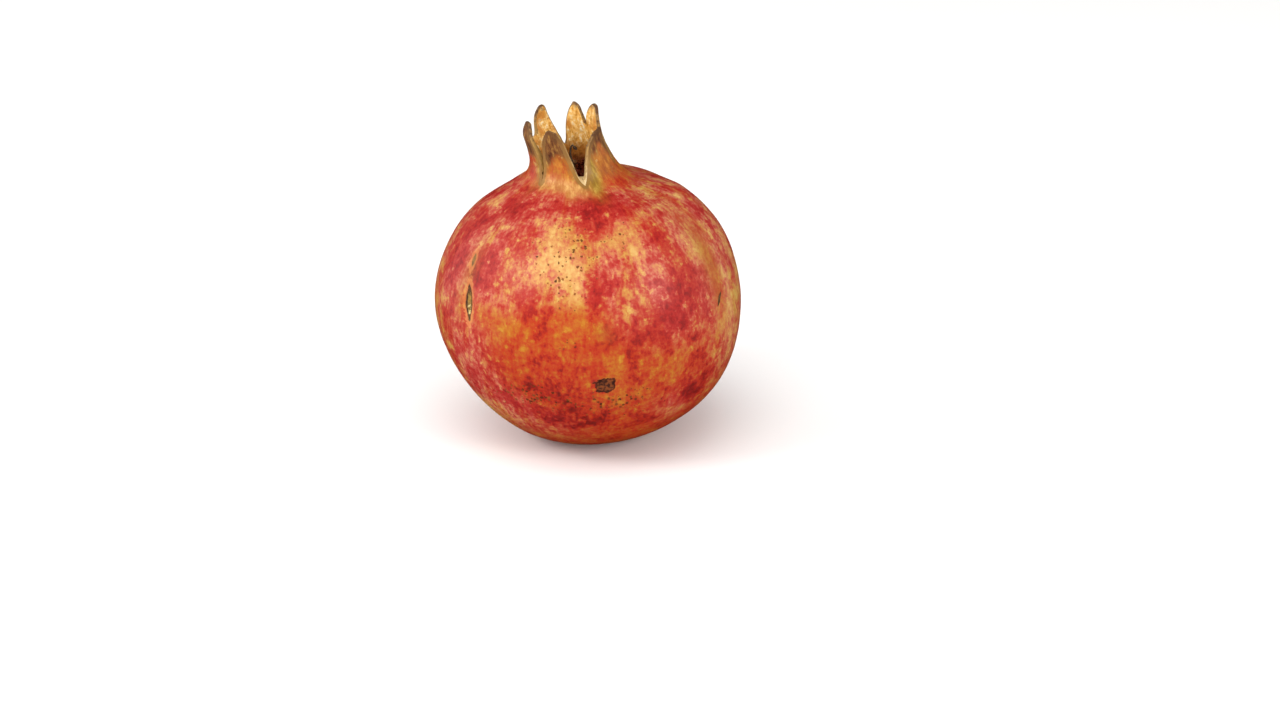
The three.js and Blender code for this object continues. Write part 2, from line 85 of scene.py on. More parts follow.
# Old injuries in the rind, each a shallow hollow. The tilt is in degrees from upright.
Scar = namedtuple("Scar", "azimuth z width length tilt depth")
SCARS = {
    "healed_slit": Scar(218.4, 49.4, 3.0, 9.8, -17, 0.9),
    "rub_mark": Scar(-83.8, 30.4, 5.6, 5.3, 0, 0.3),
    "nick_left": Scar(213.6, 60.1, 2.2, 3.6, -14, 0.3),
    "nick_right": Scar(-30.4, 48.3, 2.0, 4.4, 40, 0.3),
}
SCAR_FALL_ACROSS = 1.6  # how fast the hollow fades towards the scar's sides
SCAR_FALL_ALONG = 1.8  # and towards its ends
SCAR_SIDE = 20  # a scar's colour is only drawn on its own side, this far out from the axis
MASK_OUTSIDE = 1.2  # a scar's colour fades between these shares of its half width and length
MASK_INSIDE = 0.85

# ---- Stem end ----
DIMPLE_RADIUS = 6.2
DIMPLE_FLOOR_RADIUS = 2.7
DIMPLE_DEPTH = 3.2
STUB_RADIUS = 2.0
STUB_TOP_RADIUS = 2.4
STUB_LENGTH = 2.0
STUB_BEVEL = 0.25
STUB_FLARE_FROM = 0.4  # the stub widens from this far above its bevel
STUB_FLARE_HEIGHT = 0.6
STUB_BARK_RINGS = (0.2625, 0.475, 0.6875, 0.9)  # heights above the bevel
STUB_CUT_RINGS = 12
GAP = 0.3  # clearance between neighbouring pieces

# ---- Crown: the calyx tube, split into six lobes ----
CROWN_BASE_Z = 78
CROWN_RADIUS = 10.6
CROWN_FLARE = 4.4  # how much wider the crown is at its root
CROWN_FLARE_HEIGHT = 5
CROWN_SPREAD = 1.3  # a fillet at its foot
CROWN_SPREAD_HEIGHT = 1.6
CROWN_SPREAD_SIDE = 0.5  # the fillet is this share wider on the right, narrower on the left
CROWN_OFFSET_X = -3.1
CROWN_LEAN_X = -4.7
CROWN_LEAN_FROM_Z = 77.8
CROWN_LEAN_TO_Z = 95.8
LIP_THICKNESS = 0.85
LIP_ROUND = 0.3  # how far the torn edge bulges
LIP_SLOPE = 0.25  # how far it falls to the inside, as a share of the wall's thickness
SLIT_LEVEL_Z = 79.8  # the lobes bend from here up
SLIT_EASE = 0.1  # how soon above its bottom a slit is open, as a share of the lobe
SILL_RISE = 1.35  # at a slit's bottom the inner edge of the wall stands this much higher
TIP_CURL_FROM = 0.72  # the share of its height from which a lobe's tip curls

# One lobe: its sector, its first slit's bottom, its tip, its bend, and its two edges. An edge is
# (gap, full, point): the share of the half sector that its slit takes, how long it stays wide,
# and how round its end is.
Lobe = namedtuple("Lobe", "start end slit_z tip top_z lean curl cup low high")
LOBES = (
    Lobe(-78.5, -8, 79.55, -12, 93.2, 0.8, -0.3, -0.008, (0, 0.83, 0.34), (0.1, 3.0, 0.7)),
    Lobe(-8, 46, 83.8, 22, 98.1, 1.35, 0.3, 0.012, (0.2, 2.4, 0.55), (0.04, 1.9, 0.42)),
    Lobe(46, 99.5, 90.5, 66, 97.7, 0, 0.2, 0.015, (0.02, 2.5, 0.7), (0, 0.92, 0.9)),
    Lobe(99.5, 150, 83.7, 121.5, 97, 0, 0.9, 0.012, (0, 1.1, 0.52), (0.28, 0.6, 0.3)),
    Lobe(150, 227.5, 87.6, 200, 95.1, 0.45, 1.6, 0.008, (0.2, 1.9, 0.5), (0.08, 1.9, 0.5)),
    Lobe(227.5, 281.5, 79.4, 253, 94.3, -0.1, 0.5, 0.008, (0, 2.0, 0.72), (0.29, 8, 0.65)),
)

# ---- Cup, with what is left of the flower in it ----
CUP_ROOT_INSET = 0.6  # how much further in the wall's inner face is at its root
CUP_FLOOR_Z = 74.6
CUP_FLOOR_RADIUS = 8
CUP_TURN = 1.4  # how quickly the cup's wall turns into its floor
RING_RADIUS = 7.5
RING_WIDTH = 1.6
RING_Z = 77.2  # the middle of the stamens' ring
RING_HEIGHT = 1.1
STAMEN_COUNT = 46
STAMEN_SEED = 11
STAMEN_HEIGHT = 3.4
STAMEN_DRIFT = 26  # degrees from the furthest lean to one side to the furthest to the other
STAMEN_NOD = 1.5  # how far their heads nod inwards
FILAMENT_RADIUS = 0.22
ROOT_THICKNESS = 1.25  # a filament's radius at its root and its tip, as shares of its own
TIP_THICKNESS = 0.75
FILAMENT_STEPS = 12
ANTHER_GROOVE = 0.45  # how much of its thickness an anther loses in its groove
ANTHER_GROOVE_WIDTH = 0.3  # as a share of its half breadth
ANTHER_BREADTH = 1.2  # its breadth as a share of its thickness
HOOKED_AZIMUTH = -84
HOOKED_RADIUS = 0.3
STYLE_RADIUS = 0.75
STYLE_HEIGHT = 8
STYLE_BOW = 1.1  # how far to the left its top leans
STIGMA_RADIUS = 1.3
STYLE_FURROWS = 5
STYLE_FURROW_DEPTH = 0.1

# ---- Mesh density ----
COLUMNS_PER_LOBE = 50
COLUMNS = COLUMNS_PER_LOBE * len(LOBES)
DIMPLE_ROWS = 12
BODY_ROWS = 150
NECK_ROWS = 24
CROWN_ROWS = 56
LIP_ROWS = 4
CUP_ROWS = 16
EDGE_STEPS = 400
MERGE_DISTANCE = 0.0001  # spun points closer than this are one

# ---- Fine relief, left out of the solids: (height, size) of each unevenness ----
BODY_UNEVENNESS = ((0.16, 16), (0.05, 5), (0.02, 2.1))
OUTER_WRINKLES = ((0.10, 1.5), (0.05, 0.7))
INNER_CRINKLES = ((0.17, 1.7), (0.10, 0.9))
WRINKLE_STRETCH = 0.3  # heights count for this much in the wrinkles, so that they run up the lobes
WRINKLES_FROM_Z = CROWN_BASE_Z - 2  # below this the skin is uneven as on the body
WRINKLES_FULL_Z = CROWN_BASE_Z + 5
UNEVENNESS_FROM_Z = 0.05  # the spot that touches the floor is plain
UNEVENNESS_FULL_Z = 4
RIM_WOBBLE = 0.35
RIM_WOBBLE_PACE = 9  # bumps of the rim's edge per radian, about
RIM_WOBBLE_RISE = 8  # how far above the slits the wobble is full

# ---- The skin unwrapped as one sheet ----
CROWN_SHEET_SHARE = 2.2  # the crown's rows take this many times their own height on the sheet
SHEET_MARGIN = 0.004

# ---- Colour fields on the rind: name, azimuth, height, half width, half height and amount ----
# Blush is how far the red cover has grown over the golden ground. A few patches paint highlight and
# shade instead, as marked.
BLUSH_BASE = 0.52
AWAY_SPREAD = 75  # degrees from the front, past which the blush wanders instead
AWAY_WANDER = ((0.5, 24, 37), (0.25, 12, -19))  # amount, size in mm and shift of each wandering
BLUSH = (
    ("gold_front", -103, 65, 9, 7.5, -0.5),
    ("gold_front_tail", -96, 55, 4, 5, -0.35),
    ("gold_right_shoulder", -70, 68, 7, 4.5, -0.5),
    ("gold_right_top", -60, 72.5, 4, 2.5, -0.05),
    ("gold_right", -36, 66, 4, 6, -0.45),
    ("gold_left", -145, 66, 3.5, 4.5, -0.3),
    ("gold_left_top", -137, 70.5, 4, 1.6, -0.35),
    ("gold_round_slit", -146, 52, 3.5, 7, -0.15),
    ("pink_left", -128, 61, 8, 6, 0.16),
    ("far_left_top", -167, 73, 5, 3, -0.5),
    ("belt_left", -122, 46, 10, 6, -0.05),
    ("belt_middle", -101, 45, 9, 5, -0.12),
    ("low_right", -79, 31, 4.5, 8, -0.3),
    ("low_right_inner", -61, 36, 6, 4.5, -0.28),
    ("tan_right", -33, 34, 7, 8, -0.05),
    ("tan_right_flank", -15, 42, 9, 12, -0.15),
    ("neck_streak", -46, 76, 4, 2.5, -0.2),
    ("red_top", -88, 75, 6, 2.4, 0.42),
    ("red_top_tongue", -88, 71.5, 3.5, 2.6, 0.5),
    ("red_top_left", -133, 73.5, 14, 2.6, 0.35),
    ("red_top_right", -62, 76.5, 8, 2, 0.4),
    ("red_left", -141, 58, 4, 6, 0.25),
    ("red_left_shoulder", -160, 66, 9, 8, 0.25),
    ("red_middle", -85, 60, 4.5, 5, 0.35),
    ("red_right_spot", -57.5, 67.5, 3.5, 2.5, 0.35),
    # painted highlight: lighter, golder skin where the right highlight falls
    ("painted_highlight_right", -72, 54, 5, 5, -0.4),
    ("red_right", -58, 49, 12, 8, 0.55),
    ("red_right_far", -47, 58, 6, 7, 0.1),
    ("bar_left", -112, 51, 2, 5, 0.3),
    ("bar_middle", -106, 47, 2, 5, 0.45),
    ("bar_low", -75, 36, 1.8, 5, 0.4),
    ("left_flank", -155, 42, 12, 12, -0.05),
    ("left_low", -140, 28, 14, 9, -0.1),
    ("red_low", -108, 28, 12, 6, 0.35),
    # painted shade: deeper, darker red at the front of the underside, where shadow falls
    ("painted_shade_bottom", -90, 17, 11, 5, 0.5),
    # painted light: lighter, golder skin at the lower left, where light from the floor side
    # brightens it
    ("bottom_left", -130, 13, 12, 5, -0.3),
    ("red_shoulder_right", -45, 71.5, 5, 2.5, 0.35),
    ("gold_top_front", -110, 72.5, 4, 1.6, -0.3),
    ("red_over_gold", -120, 68, 3.5, 3, 0.25),
    ("gold_belt_left", -121, 49, 4, 3, -0.25),
    ("gold_far_right", -8, 62, 5, 5, -0.35),
    ("gold_right_spot", -50, 20, 5, 4, -0.25),
    # painted shade: deeper, darker red low on the right, where shadow falls
    ("painted_shade_right_low", -44, 24, 6.5, 4, 0.72),
    ("red_below_top", -70, 72.5, 4, 2, 0.2),
    ("gold_front_high", -104, 69, 6, 2.5, -0.2),
    ("red_low_right_spot", -70, 36, 3.5, 4, 0.2),
    ("red_right_belt", -46, 41, 5, 4, 0.08),
    ("gold_far_low_right", -30, 24, 5, 4, -0.35),
    ("gold_under", -90, 14, 8, 3, -0.2),
    ("red_far_left", -160, 50, 4, 8, 0.4),
    ("gold_pink_left", -130, 56, 4, 3, -0.1),
    ("gold_middle_spot", -90, 51, 3.5, 3, -0.15),
    ("red_left_low_spot", -130, 34, 4, 4, 0.3),
    ("gold_left_low_spot", -120, 32, 4, 4, -0.2),
    ("red_bottom_left", -122, 19, 10, 4, 0.3),
    ("red_far_right", -16, 54, 4, 8, 0.2),
    ("gold_low_right_spot", -60, 28, 4, 3, -0.25),
    ("red_under_front", -103, 17, 4, 4, 0.17),
)
# Warmth turns gold to orange and crimson to vermilion, towards the underside.
WARMTH_TOP_Z = 60
WARMTH_FULL_Z = 36
WARMTH = (
    ("front_low", -105, 34, 14, 10, 1.25),
    ("right_red", -58, 50, 10, 8, -0.7),
    ("left_low", -140, 30, 14, 12, -1.5),
    ("right_low", -25, 36, 10, 12, -0.75),
    ("neck", -90, 80, 30, 4, -0.2),
    ("belt_middle", -96, 50, 9, 4, 0.65),
    ("belt_left", -135, 48, 11, 4, 0.65),
    ("front_top", -84, 70, 12, 4, 0.55),
    ("right_streak", -30, 56, 3, 10, 1.3),
    ("bottom_left", -122, 18, 14, 7, -0.9),
    ("bottom_right", -52, 21, 6, 5, -0.8),
    ("left_shoulder", -138, 61, 8, 6, -0.5),
    ("left_edge", -168, 45, 8, 14, -0.5),
    ("right_edge", -10, 45, 8, 14, -0.4),
    # painted highlight: cooler, pinker skin where the right highlight falls
    ("painted_highlight_right", -72, 56, 9, 6, -0.5),
    ("pink_left", -125, 60, 10, 6, -0.4),
)
# Where the golden ground turns olive.
OLIVE = (
    ("round_slit", -146, 56, 2.5, 8, 0.35),
    ("right_high", -31, 60, 4, 10, 0.4),
    ("belt", -84, 46, 2, 2, 0.3),
)
# The same for the calyx, where azimuths are measured round the calyx's own axis.
CALYX_FADE = 1.5  # the rind's fields give way to the calyx's within this far of its base
CALYX_BLUSH_BASE = 0.25
CALYX_WANDER = 0.2  # how much the calyx's blush wanders, in clouds of the next size
CALYX_WANDER_SIZE = 5
CALYX_BLUSH = (
    ("front_red", 251, 88.0, 1.4, 3.0, 0.15),
    ("front_red_low", 246, 84.6, 1.3, 2.6, 0.1),
    ("front_root", 256, 80.5, 6, 1.6, -0.25),
    ("right_red", 328, 89.0, 1.2, 1.6, 0.25),
    ("right_edge", 336, 80.0, 4, 2.5, 0.2),
    ("right_root", 288, 78.2, 1.6, 1.2, 0.1),
    ("right_root_far", 312, 78.0, 3.5, 1.3, 0.2),
    ("left_flank", 205, 82.5, 3.2, 4.0, 0.42),
    ("left_root", 222, 77.6, 5, 1.6, 0.4),
)
CALYX_WARMTH_BASE = 0.85
CALYX_WARMTH = (
    ("left_flank", 204, 82.5, 3.5, 4.5, -0.55),
    ("front_root", 256, 79.5, 7, 1.8, -0.3),
)
CALYX_OCHRE_BASE = 0.75
OCHRE_FROM_Z = CROWN_BASE_Z + 1
OCHRE_FULL_Z = CROWN_BASE_Z + 4
CALYX_OCHRE = (
    ("front_right_edge", 273, 84.0, 1.8, 4.5, 0.5),
    ("front_upper", 263, 86.8, 3.0, 1.6, 0.4),
    ("front_orange", 260, 83.5, 2.4, 2.2, -0.3),
    ("front_root", 256, 80.5, 6, 1.6, -0.4),
    ("right_middle", 322, 83.5, 2.6, 6, 0.4),
    ("right_root_far", 312, 78.0, 3.5, 1.4, -0.4),
    ("left_flank", 205, 82, 3.2, 4.5, -0.5),
    ("left_root", 222, 77.6, 5, 1.6, -0.4),
)
CALYX_OLIVE = (
    ("right_stripe", 299.5, 86.0, 1.2, 3.0, 0.95),
    ("right_stripe_low", 295, 82.0, 1.9, 2.6, 0.95),
    ("right_stripe_foot", 291, 78.8, 2.0, 1.5, 0.9),
    ("front_slit_foot", 277, 80.6, 1.2, 1.9, 0.8),
    ("front_left_edge", 232, 85.0, 0.9, 4.0, 0.5),
    ("left_strip", 220, 82.5, 1.1, 4.0, 0.8),
)
CALYX_PEACH = (
    ("front_root", 255, 79.0, 6.0, 1.0, 1.0),
    ("front_root_high", 252, 80.4, 3.6, 1.0, 0.5),
    ("front_root_low", 266, 77.4, 1.4, 0.9, 0.7),
    ("slit_foot", 278, 78.3, 1.4, 1.0, 0.6),
    ("left_slit_foot", 232, 78.7, 1.2, 0.9, 0.5),
)
# The lobes dry from their tips down; here the dry skin reaches lower, or less low.
CALYX_DRY = (
    ("front_left", 238, 87.5, 1.8, 4.0, 0.35),
    ("front_dark", 252, 90.8, 2.0, 1.8, 0.4),
    ("front_right", 277, 88.5, 1.8, 3.0, 0.35),
    ("right_left", 314, 89.8, 2.4, 1.8, 0.15),
    ("right_red", 328, 88.6, 1.4, 1.6, -0.3),
    ("left", 206, 89.0, 5, 3.5, 0.35),
    ("right_outline", 352, 86.5, 2.0, 4.5, 0.25),
)
# The torn edge is pale and corky here, and brown elsewhere.
CALYX_CREAM = (("v_slit", 281, 83.0, 4.5, 6.0, 1.2),)
FAR_FROM_RIM = 10  # distances from the calyx's rim are counted up to this
# The corky ring round the stem is full inside the first radius and gone outside the second.
STEM_RING_INSIDE = 5.5
STEM_RING_OUTSIDE = 10
# The healed slit's crust is brown at its top and turns to cream towards its foot.
SLIT_TOP_Z = 54.5
SLIT_FOOT_Z = 45
# Where dark corky specks gather.
SPECKS_BASE = 0.4
SPECKS = (
    ("gold_front", -99, 66, 8, 7, 0.6),
    ("gold_front_tail", -98, 56, 6, 4, 0.25),
    ("middle", -97, 41, 5, 5, 0.3),
    ("low_middle", -96, 25, 13, 4, 0.6),
    ("low_left", -122, 25, 10, 6, 0.5),
    ("low_right", -73, 25, 9, 4, 0.5),
    ("right", -70, 69, 4, 3, 0.35),
)


# ---- Formulas of the fruit's form ----


def smooth(low, high, value):
    """0 below low, 1 above high, and a smooth rise between them."""
    share = np.clip((np.asarray(value, float) - low) / (high - low), 0, 1)
    return share * share * (3 - 2 * share)


def wrapped(degrees):
    """The same angle between -180 and 180."""
    return (np.asarray(degrees, float) + 180) % 360 - 180


def bell(value):
    """1 at 0, falling to nothing on both sides."""
    return np.exp(-np.square(value))


def polar_points(centre_x, radius, azimuth, z):
    """Points at a distance and azimuth from an upright axis."""
    angle = np.radians(azimuth)
    z = np.zeros_like(angle) + z
    return np.stack([centre_x + radius * np.cos(angle), radius * np.sin(angle), z], axis=-1)


def rested_height(z):
    """The height above the surface of the ball's underside, eased into the flat spot."""
    eased = np.square(np.maximum(z + REST_EASE, 0)) / (4 * REST_EASE)
    return np.where(z >= REST_EASE, z, eased)


def scar_place(scar, azimuth, radius, z):
    """Distances across and along a scar from its middle."""
    aside = np.radians(wrapped(azimuth - scar.azimuth)) * radius
    up = z - scar.z
    tilt = math.radians(scar.tilt)
    across = aside * math.cos(tilt) - up * math.sin(tilt)
    along = up * math.cos(tilt) + aside * math.sin(tilt)
    return across, along


def body_relief(azimuth, radius, z):
    """How far the rind stands out from the plain ball: ridges, swells and scars."""
    reach = radius / BODY_RADIUS
    wave = np.cos(RIDGE_COUNT * np.radians(azimuth - RIDGE_AZIMUTH))
    on_sides = reach * smooth(RIDGE_FROM_Z, RIDGE_FULL_Z, z)
    out = RIDGE_HEIGHT * wave * (on_sides + bell((z - RIDGE_TOP_Z) / RIDGE_TOP_SPREAD))
    for swell_azimuth, swell_z, amount, degrees, height in SWELLS:
        aside = wrapped(azimuth - swell_azimuth) / degrees
        out = out + amount * reach * bell(aside) * bell((z - swell_z) / height)
    for scar in SCARS.values():
        across, along = scar_place(scar, azimuth, radius, z)
        hollow = scar.depth * bell(SCAR_FALL_ACROSS * across / scar.width)
        out = out - hollow * bell(SCAR_FALL_ALONG * along / scar.length)
    return out * smooth(RELIEF_FROM_Z, RELIEF_FULL_Z, z)


def rind_points(azimuth, radius, z, relief_share, centre_x):
    """Points of the body or neck, moved by their relief away from the middle of the ball."""
    relief = body_relief(azimuth, radius, z) * relief_share
    from_middle = np.hypot(radius, z - EQUATOR_Z)
    grown_radius = radius + relief * radius / from_middle
    grown_z = z + relief * (z - EQUATOR_Z) / from_middle
    return polar_points(centre_x, grown_radius, azimuth, grown_z)


def crown_centre_x(z):
    """Where the crown's axis stands: it leans to the left as it rises."""
    return CROWN_OFFSET_X + CROWN_LEAN_X * smooth(CROWN_LEAN_FROM_Z, CROWN_LEAN_TO_Z, z)


def root_share(z):
    """1 at the crown's base, falling away above it."""
    return np.exp(-(z - CROWN_BASE_Z) / CROWN_FLARE_HEIGHT)


def crown_spread(azimuth):
    """The width of the fillet at the crown's base."""
    return CROWN_SPREAD * (1 + CROWN_SPREAD_SIDE * np.cos(np.radians(azimuth)))


def outer_radius(azimuth, z):
    """The crown's outer face, which flares at its root and meets the neck in a fillet."""
    fillet = crown_spread(azimuth) * np.exp(-(z - CROWN_BASE_Z) / CROWN_SPREAD_HEIGHT)
    return CROWN_RADIUS + CROWN_FLARE * root_share(z) + fillet


def inner_radius(z):
    """The crown's inner face: its wall is thicker at the root."""
    return CROWN_RADIUS - LIP_THICKNESS - CUP_ROOT_INSET * root_share(z)


def lobe_edge(part, side, slit_z):
    """One edge of a lobe from its slit to its tip, unrolled: arc in mm and height."""
    gap, full, point = part.low if side < 0 else part.high
    slit = part.start if side < 0 else part.end
    share = np.sin(np.linspace(0, math.pi / 2, EDGE_STEPS))
    opened = 1 - gap * (1 - np.exp(-share / SLIT_EASE))
    width = np.clip(1 - share**full, 0, 1) ** point
    azimuth = part.tip + (slit - part.tip) * opened * width
    return np.stack([np.radians(azimuth) * CROWN_RADIUS, slit_z + (part.top_z - slit_z) * share], 1)


def spaced(points, count):
    """Points at even distances along a line, and the line's length."""
    distance = np.r_[0, np.cumsum(np.hypot(*np.diff(points, axis=0).T))]
    wanted = np.linspace(0, distance[-1], count + 1)
    found = [np.interp(wanted, distance, points[:, axis]) for axis in (0, 1)]
    return np.stack(found, 1), distance[-1]


def lobe_rim(part, next_slit_z):
    """The rim of one lobe, from its first slit over the tip down to the next slit.

    Each point has its arc, its height and the height of the wall's inner edge at its slit."""
    low = lobe_edge(part, -1, part.slit_z)
    high = lobe_edge(part, 1, next_slit_z)
    low_length, high_length = spaced(low, 1)[1], spaced(high, 1)[1]
    low_count = round(COLUMNS_PER_LOBE * low_length / (low_length + high_length))
    rising = spaced(low, low_count)[0]
    falling = spaced(high, COLUMNS_PER_LOBE - low_count)[0][::-1][1:]
    sill = np.repeat([part.slit_z, next_slit_z], [len(rising), len(falling)]) + SILL_RISE
    rim = np.concatenate([rising, falling])
    return np.column_stack([rim, sill])[:COLUMNS_PER_LOBE]


def crown_columns():
    """Each column of the mesh: its azimuth on the body, where it ends on the rim, and its lobe."""
    share = np.arange(COLUMNS_PER_LOBE) / COLUMNS_PER_LOBE
    rims = [lobe_rim(part, LOBES[(k + 1) % len(LOBES)].slit_z) for k, part in enumerate(LOBES)]
    azimuth = np.concatenate([part.start + (part.end - part.start) * share for part in LOBES])
    arc, rim_z, sill_z = np.concatenate(rims).T
    rim_azimuth = np.degrees(arc / CROWN_RADIUS)
    turn = np.radians(azimuth)
    pace = RIM_WOBBLE_PACE
    wobble = [noise.noise((pace * math.cos(a), pace * math.sin(a), 0)) for a in turn]
    wobbly = smooth(SLIT_LEVEL_Z, SLIT_LEVEL_Z + RIM_WOBBLE_RISE, rim_z)
    rim_z = rim_z + RIM_WOBBLE * np.array(wobble) * wobbly
    thickness = outer_radius(rim_azimuth, rim_z) - inner_radius(rim_z)
    inner_rim_z = np.maximum(rim_z - LIP_SLOPE * thickness, sill_z)
    back, ahead = np.roll(rim_azimuth, 1), np.roll(rim_azimuth, -1)
    run = np.radians(wrapped(ahead - back)) * CROWN_RADIUS
    fall = np.roll(rim_z, 1) - np.roll(rim_z, -1)
    length = np.hypot(run, fall)
    per_column = {
        name: np.repeat([getattr(part, name) for part in LOBES], COLUMNS_PER_LOBE)
        for name in ("tip", "top_z", "lean", "curl", "cup")
    }
    return SimpleNamespace(
        azimuth=azimuth,
        rim_azimuth=rim_azimuth,
        rim_z=rim_z,
        inner_rim_z=inner_rim_z,
        turn_along=fall / length,
        turn_up=run / length,
        **per_column,
    )


def wall_points(columns, azimuth, z, inward):
    """Points of the crown's wall: inward is 0 on its outer face and 1 on its inner face."""
    share = np.clip((z - SLIT_LEVEL_Z) / (columns.top_z - SLIT_LEVEL_Z), 0, 1)
    aside = np.radians(wrapped(azimuth - columns.tip)) * CROWN_RADIUS
    wall = outer_radius(azimuth, z) * (1 - inward) + inner_radius(z) * inward
    bend = columns.lean * share**1.5 - columns.curl * smooth(TIP_CURL_FROM, 1, share)
    radius = wall + bend - columns.cup * aside * aside * share
    return polar_points(crown_centre_x(z), radius, azimuth, z)


# ---- The rows of the fruit's section, each placing one point in each column ----


def dimple_row(columns, share):
    radius = DIMPLE_RADIUS * share
    z = DIMPLE_DEPTH * (1 - smooth(DIMPLE_FLOOR_RADIUS, DIMPLE_RADIUS, radius))
    return polar_points(0, radius, columns.azimuth, z)


def body_row(columns, share):
    first = math.asin(DIMPLE_RADIUS / BODY_RADIUS)
    last = math.pi - math.asin(SHOULDER_RADIUS / BODY_RADIUS)
    polar = first + (last - first) * share
    radius = BODY_RADIUS * math.sin(polar)
    z = EQUATOR_Z - BODY_RISE * math.cos(polar)
    if polar < math.pi / 2:
        z = float(rested_height(BODY_DEPTH * (1 - math.cos(polar)) - REST_CUT))
    return rind_points(columns.azimuth, radius, z, 1, 0)


def neck_row(columns, share):
    """The neck leaves the shoulder along the ball's slope and meets the crown along its flare."""
    rise = BODY_RISE * math.sqrt(1 - (SHOULDER_RADIUS / BODY_RADIUS) ** 2)
    slope = (BODY_RISE / BODY_RADIUS) ** 2 * SHOULDER_RADIUS / rise
    flare = CROWN_FLARE / CROWN_FLARE_HEIGHT
    flare = flare + crown_spread(columns.azimuth) / CROWN_SPREAD_HEIGHT
    end_radius = outer_radius(columns.azimuth, CROWN_BASE_Z)
    leaving, arriving = SHOULDER_RADIUS - NECK_LEAVE, end_radius + NECK_ARRIVE * flare
    radii = (SHOULDER_RADIUS, leaving, arriving, end_radius)
    start_z = EQUATOR_Z + rise
    heights = (start_z, start_z + NECK_LEAVE * slope, CROWN_BASE_Z - NECK_ARRIVE, CROWN_BASE_Z)
    back = 1 - share
    weights = (back**3, 3 * back**2 * share, 3 * back * share**2, share**3)
    radius = sum(weight * value for weight, value in zip(weights, radii))
    z = sum(weight * value for weight, value in zip(weights, heights))
    to_crown = float(smooth(0, 1, share))
    return rind_points(columns.azimuth, radius, z, 1 - to_crown, CROWN_OFFSET_X * to_crown)


def outer_row(columns, share):
    azimuth = columns.azimuth + (columns.rim_azimuth - columns.azimuth) * share
    z = CROWN_BASE_Z + (columns.rim_z - CROWN_BASE_Z) * share
    return wall_points(columns, azimuth, z, 0)


def lip_row(columns, share):
    round_out = LIP_ROUND * math.sqrt(math.sin(math.pi * share))
    azimuth = columns.rim_azimuth + np.degrees(round_out * columns.turn_along / CROWN_RADIUS)
    z = columns.rim_z * (1 - share) + columns.inner_rim_z * share + round_out * columns.turn_up
    return wall_points(columns, azimuth, z, share)


def inner_row(columns, share):
    azimuth = columns.azimuth + (columns.rim_azimuth - columns.azimuth) * share
    z = CROWN_BASE_Z + (columns.inner_rim_z - CROWN_BASE_Z) * share
    return wall_points(columns, azimuth, z, 1)


def cup_row(columns, share):
    turn = math.pi / 2 * min(share * CUP_TURN, 1)
    wall = inner_radius(CROWN_BASE_Z)
    radius = 0
    if share < 1:
        radius = wall + (CUP_FLOOR_RADIUS * (1 - share) - wall) * (1 - math.cos(turn))
    z = CROWN_BASE_Z + (CUP_FLOOR_Z - CROWN_BASE_Z) * math.sin(turn)
    return polar_points(crown_centre_x(z), radius, columns.azimuth, z)


PLACE_ROW = {
    "dimple": dimple_row,
    "body": body_row,
    "neck": neck_row,
    "outer": outer_row,
    "lip": lip_row,
    "inner": inner_row,
    "cup": cup_row,
}


def fruit_rows():
    """The zone and share of each row, from the dimple's floor to the cup's."""
    shares = {
        "dimple": np.arange(DIMPLE_ROWS) / DIMPLE_ROWS,
        "body": np.linspace(0, 1, BODY_ROWS + 1),
        "neck": np.arange(1, NECK_ROWS + 1) / NECK_ROWS,
        "outer": np.arange(1, CROWN_ROWS + 1) / CROWN_ROWS,
        "lip": np.arange(1, LIP_ROWS + 1) / (LIP_ROWS + 1),
        "inner": np.linspace(1, 0, CROWN_ROWS + 1),
        "cup": np.arange(1, CUP_ROWS + 1) / CUP_ROWS,
    }
    return [(zone, float(share)) for zone, in_zone in shares.items() for share in in_zone]


def uneven(points, size):
    """Perlin noise between -1 and 1 at points in mm, with bumps of about a size in mm."""
    flat = (points / size).reshape(-1, 3)
    return np.array([noise.noise(p) for p in flat]).reshape(points.shape[:-1])


def outward(grid):
    """The outward normal at each point of a grid of rows and columns."""
    around = np.roll(grid, -1, axis=1) - np.roll(grid, 1, axis=1)
    normal = np.cross(around, np.gradient(grid, axis=0))
    length = np.linalg.norm(normal, axis=-1, keepdims=True)
    return normal / np.maximum(length, 1e-9)


def fine_relief(grid, inside):
    """Height of the fine unevenness: soft on the body, wrinkled up the lobes, crinkled inside."""
    on_crown = smooth(WRINKLES_FROM_Z, WRINKLES_FULL_Z, grid[..., 2])
    fibres = grid * (1, 1, WRINKLE_STRETCH)
    relief = sum(height * uneven(grid, size) for height, size in BODY_UNEVENNESS) * (1 - on_crown)
    outer = sum(height * uneven(fibres, size) for height, size in OUTER_WRINKLES)
    inner = sum(height * uneven(fibres, size) for height, size in INNER_CRINKLES)
    return relief + on_crown * np.where(inside[:, None], inner, outer)


# ---- Modelling tools ----


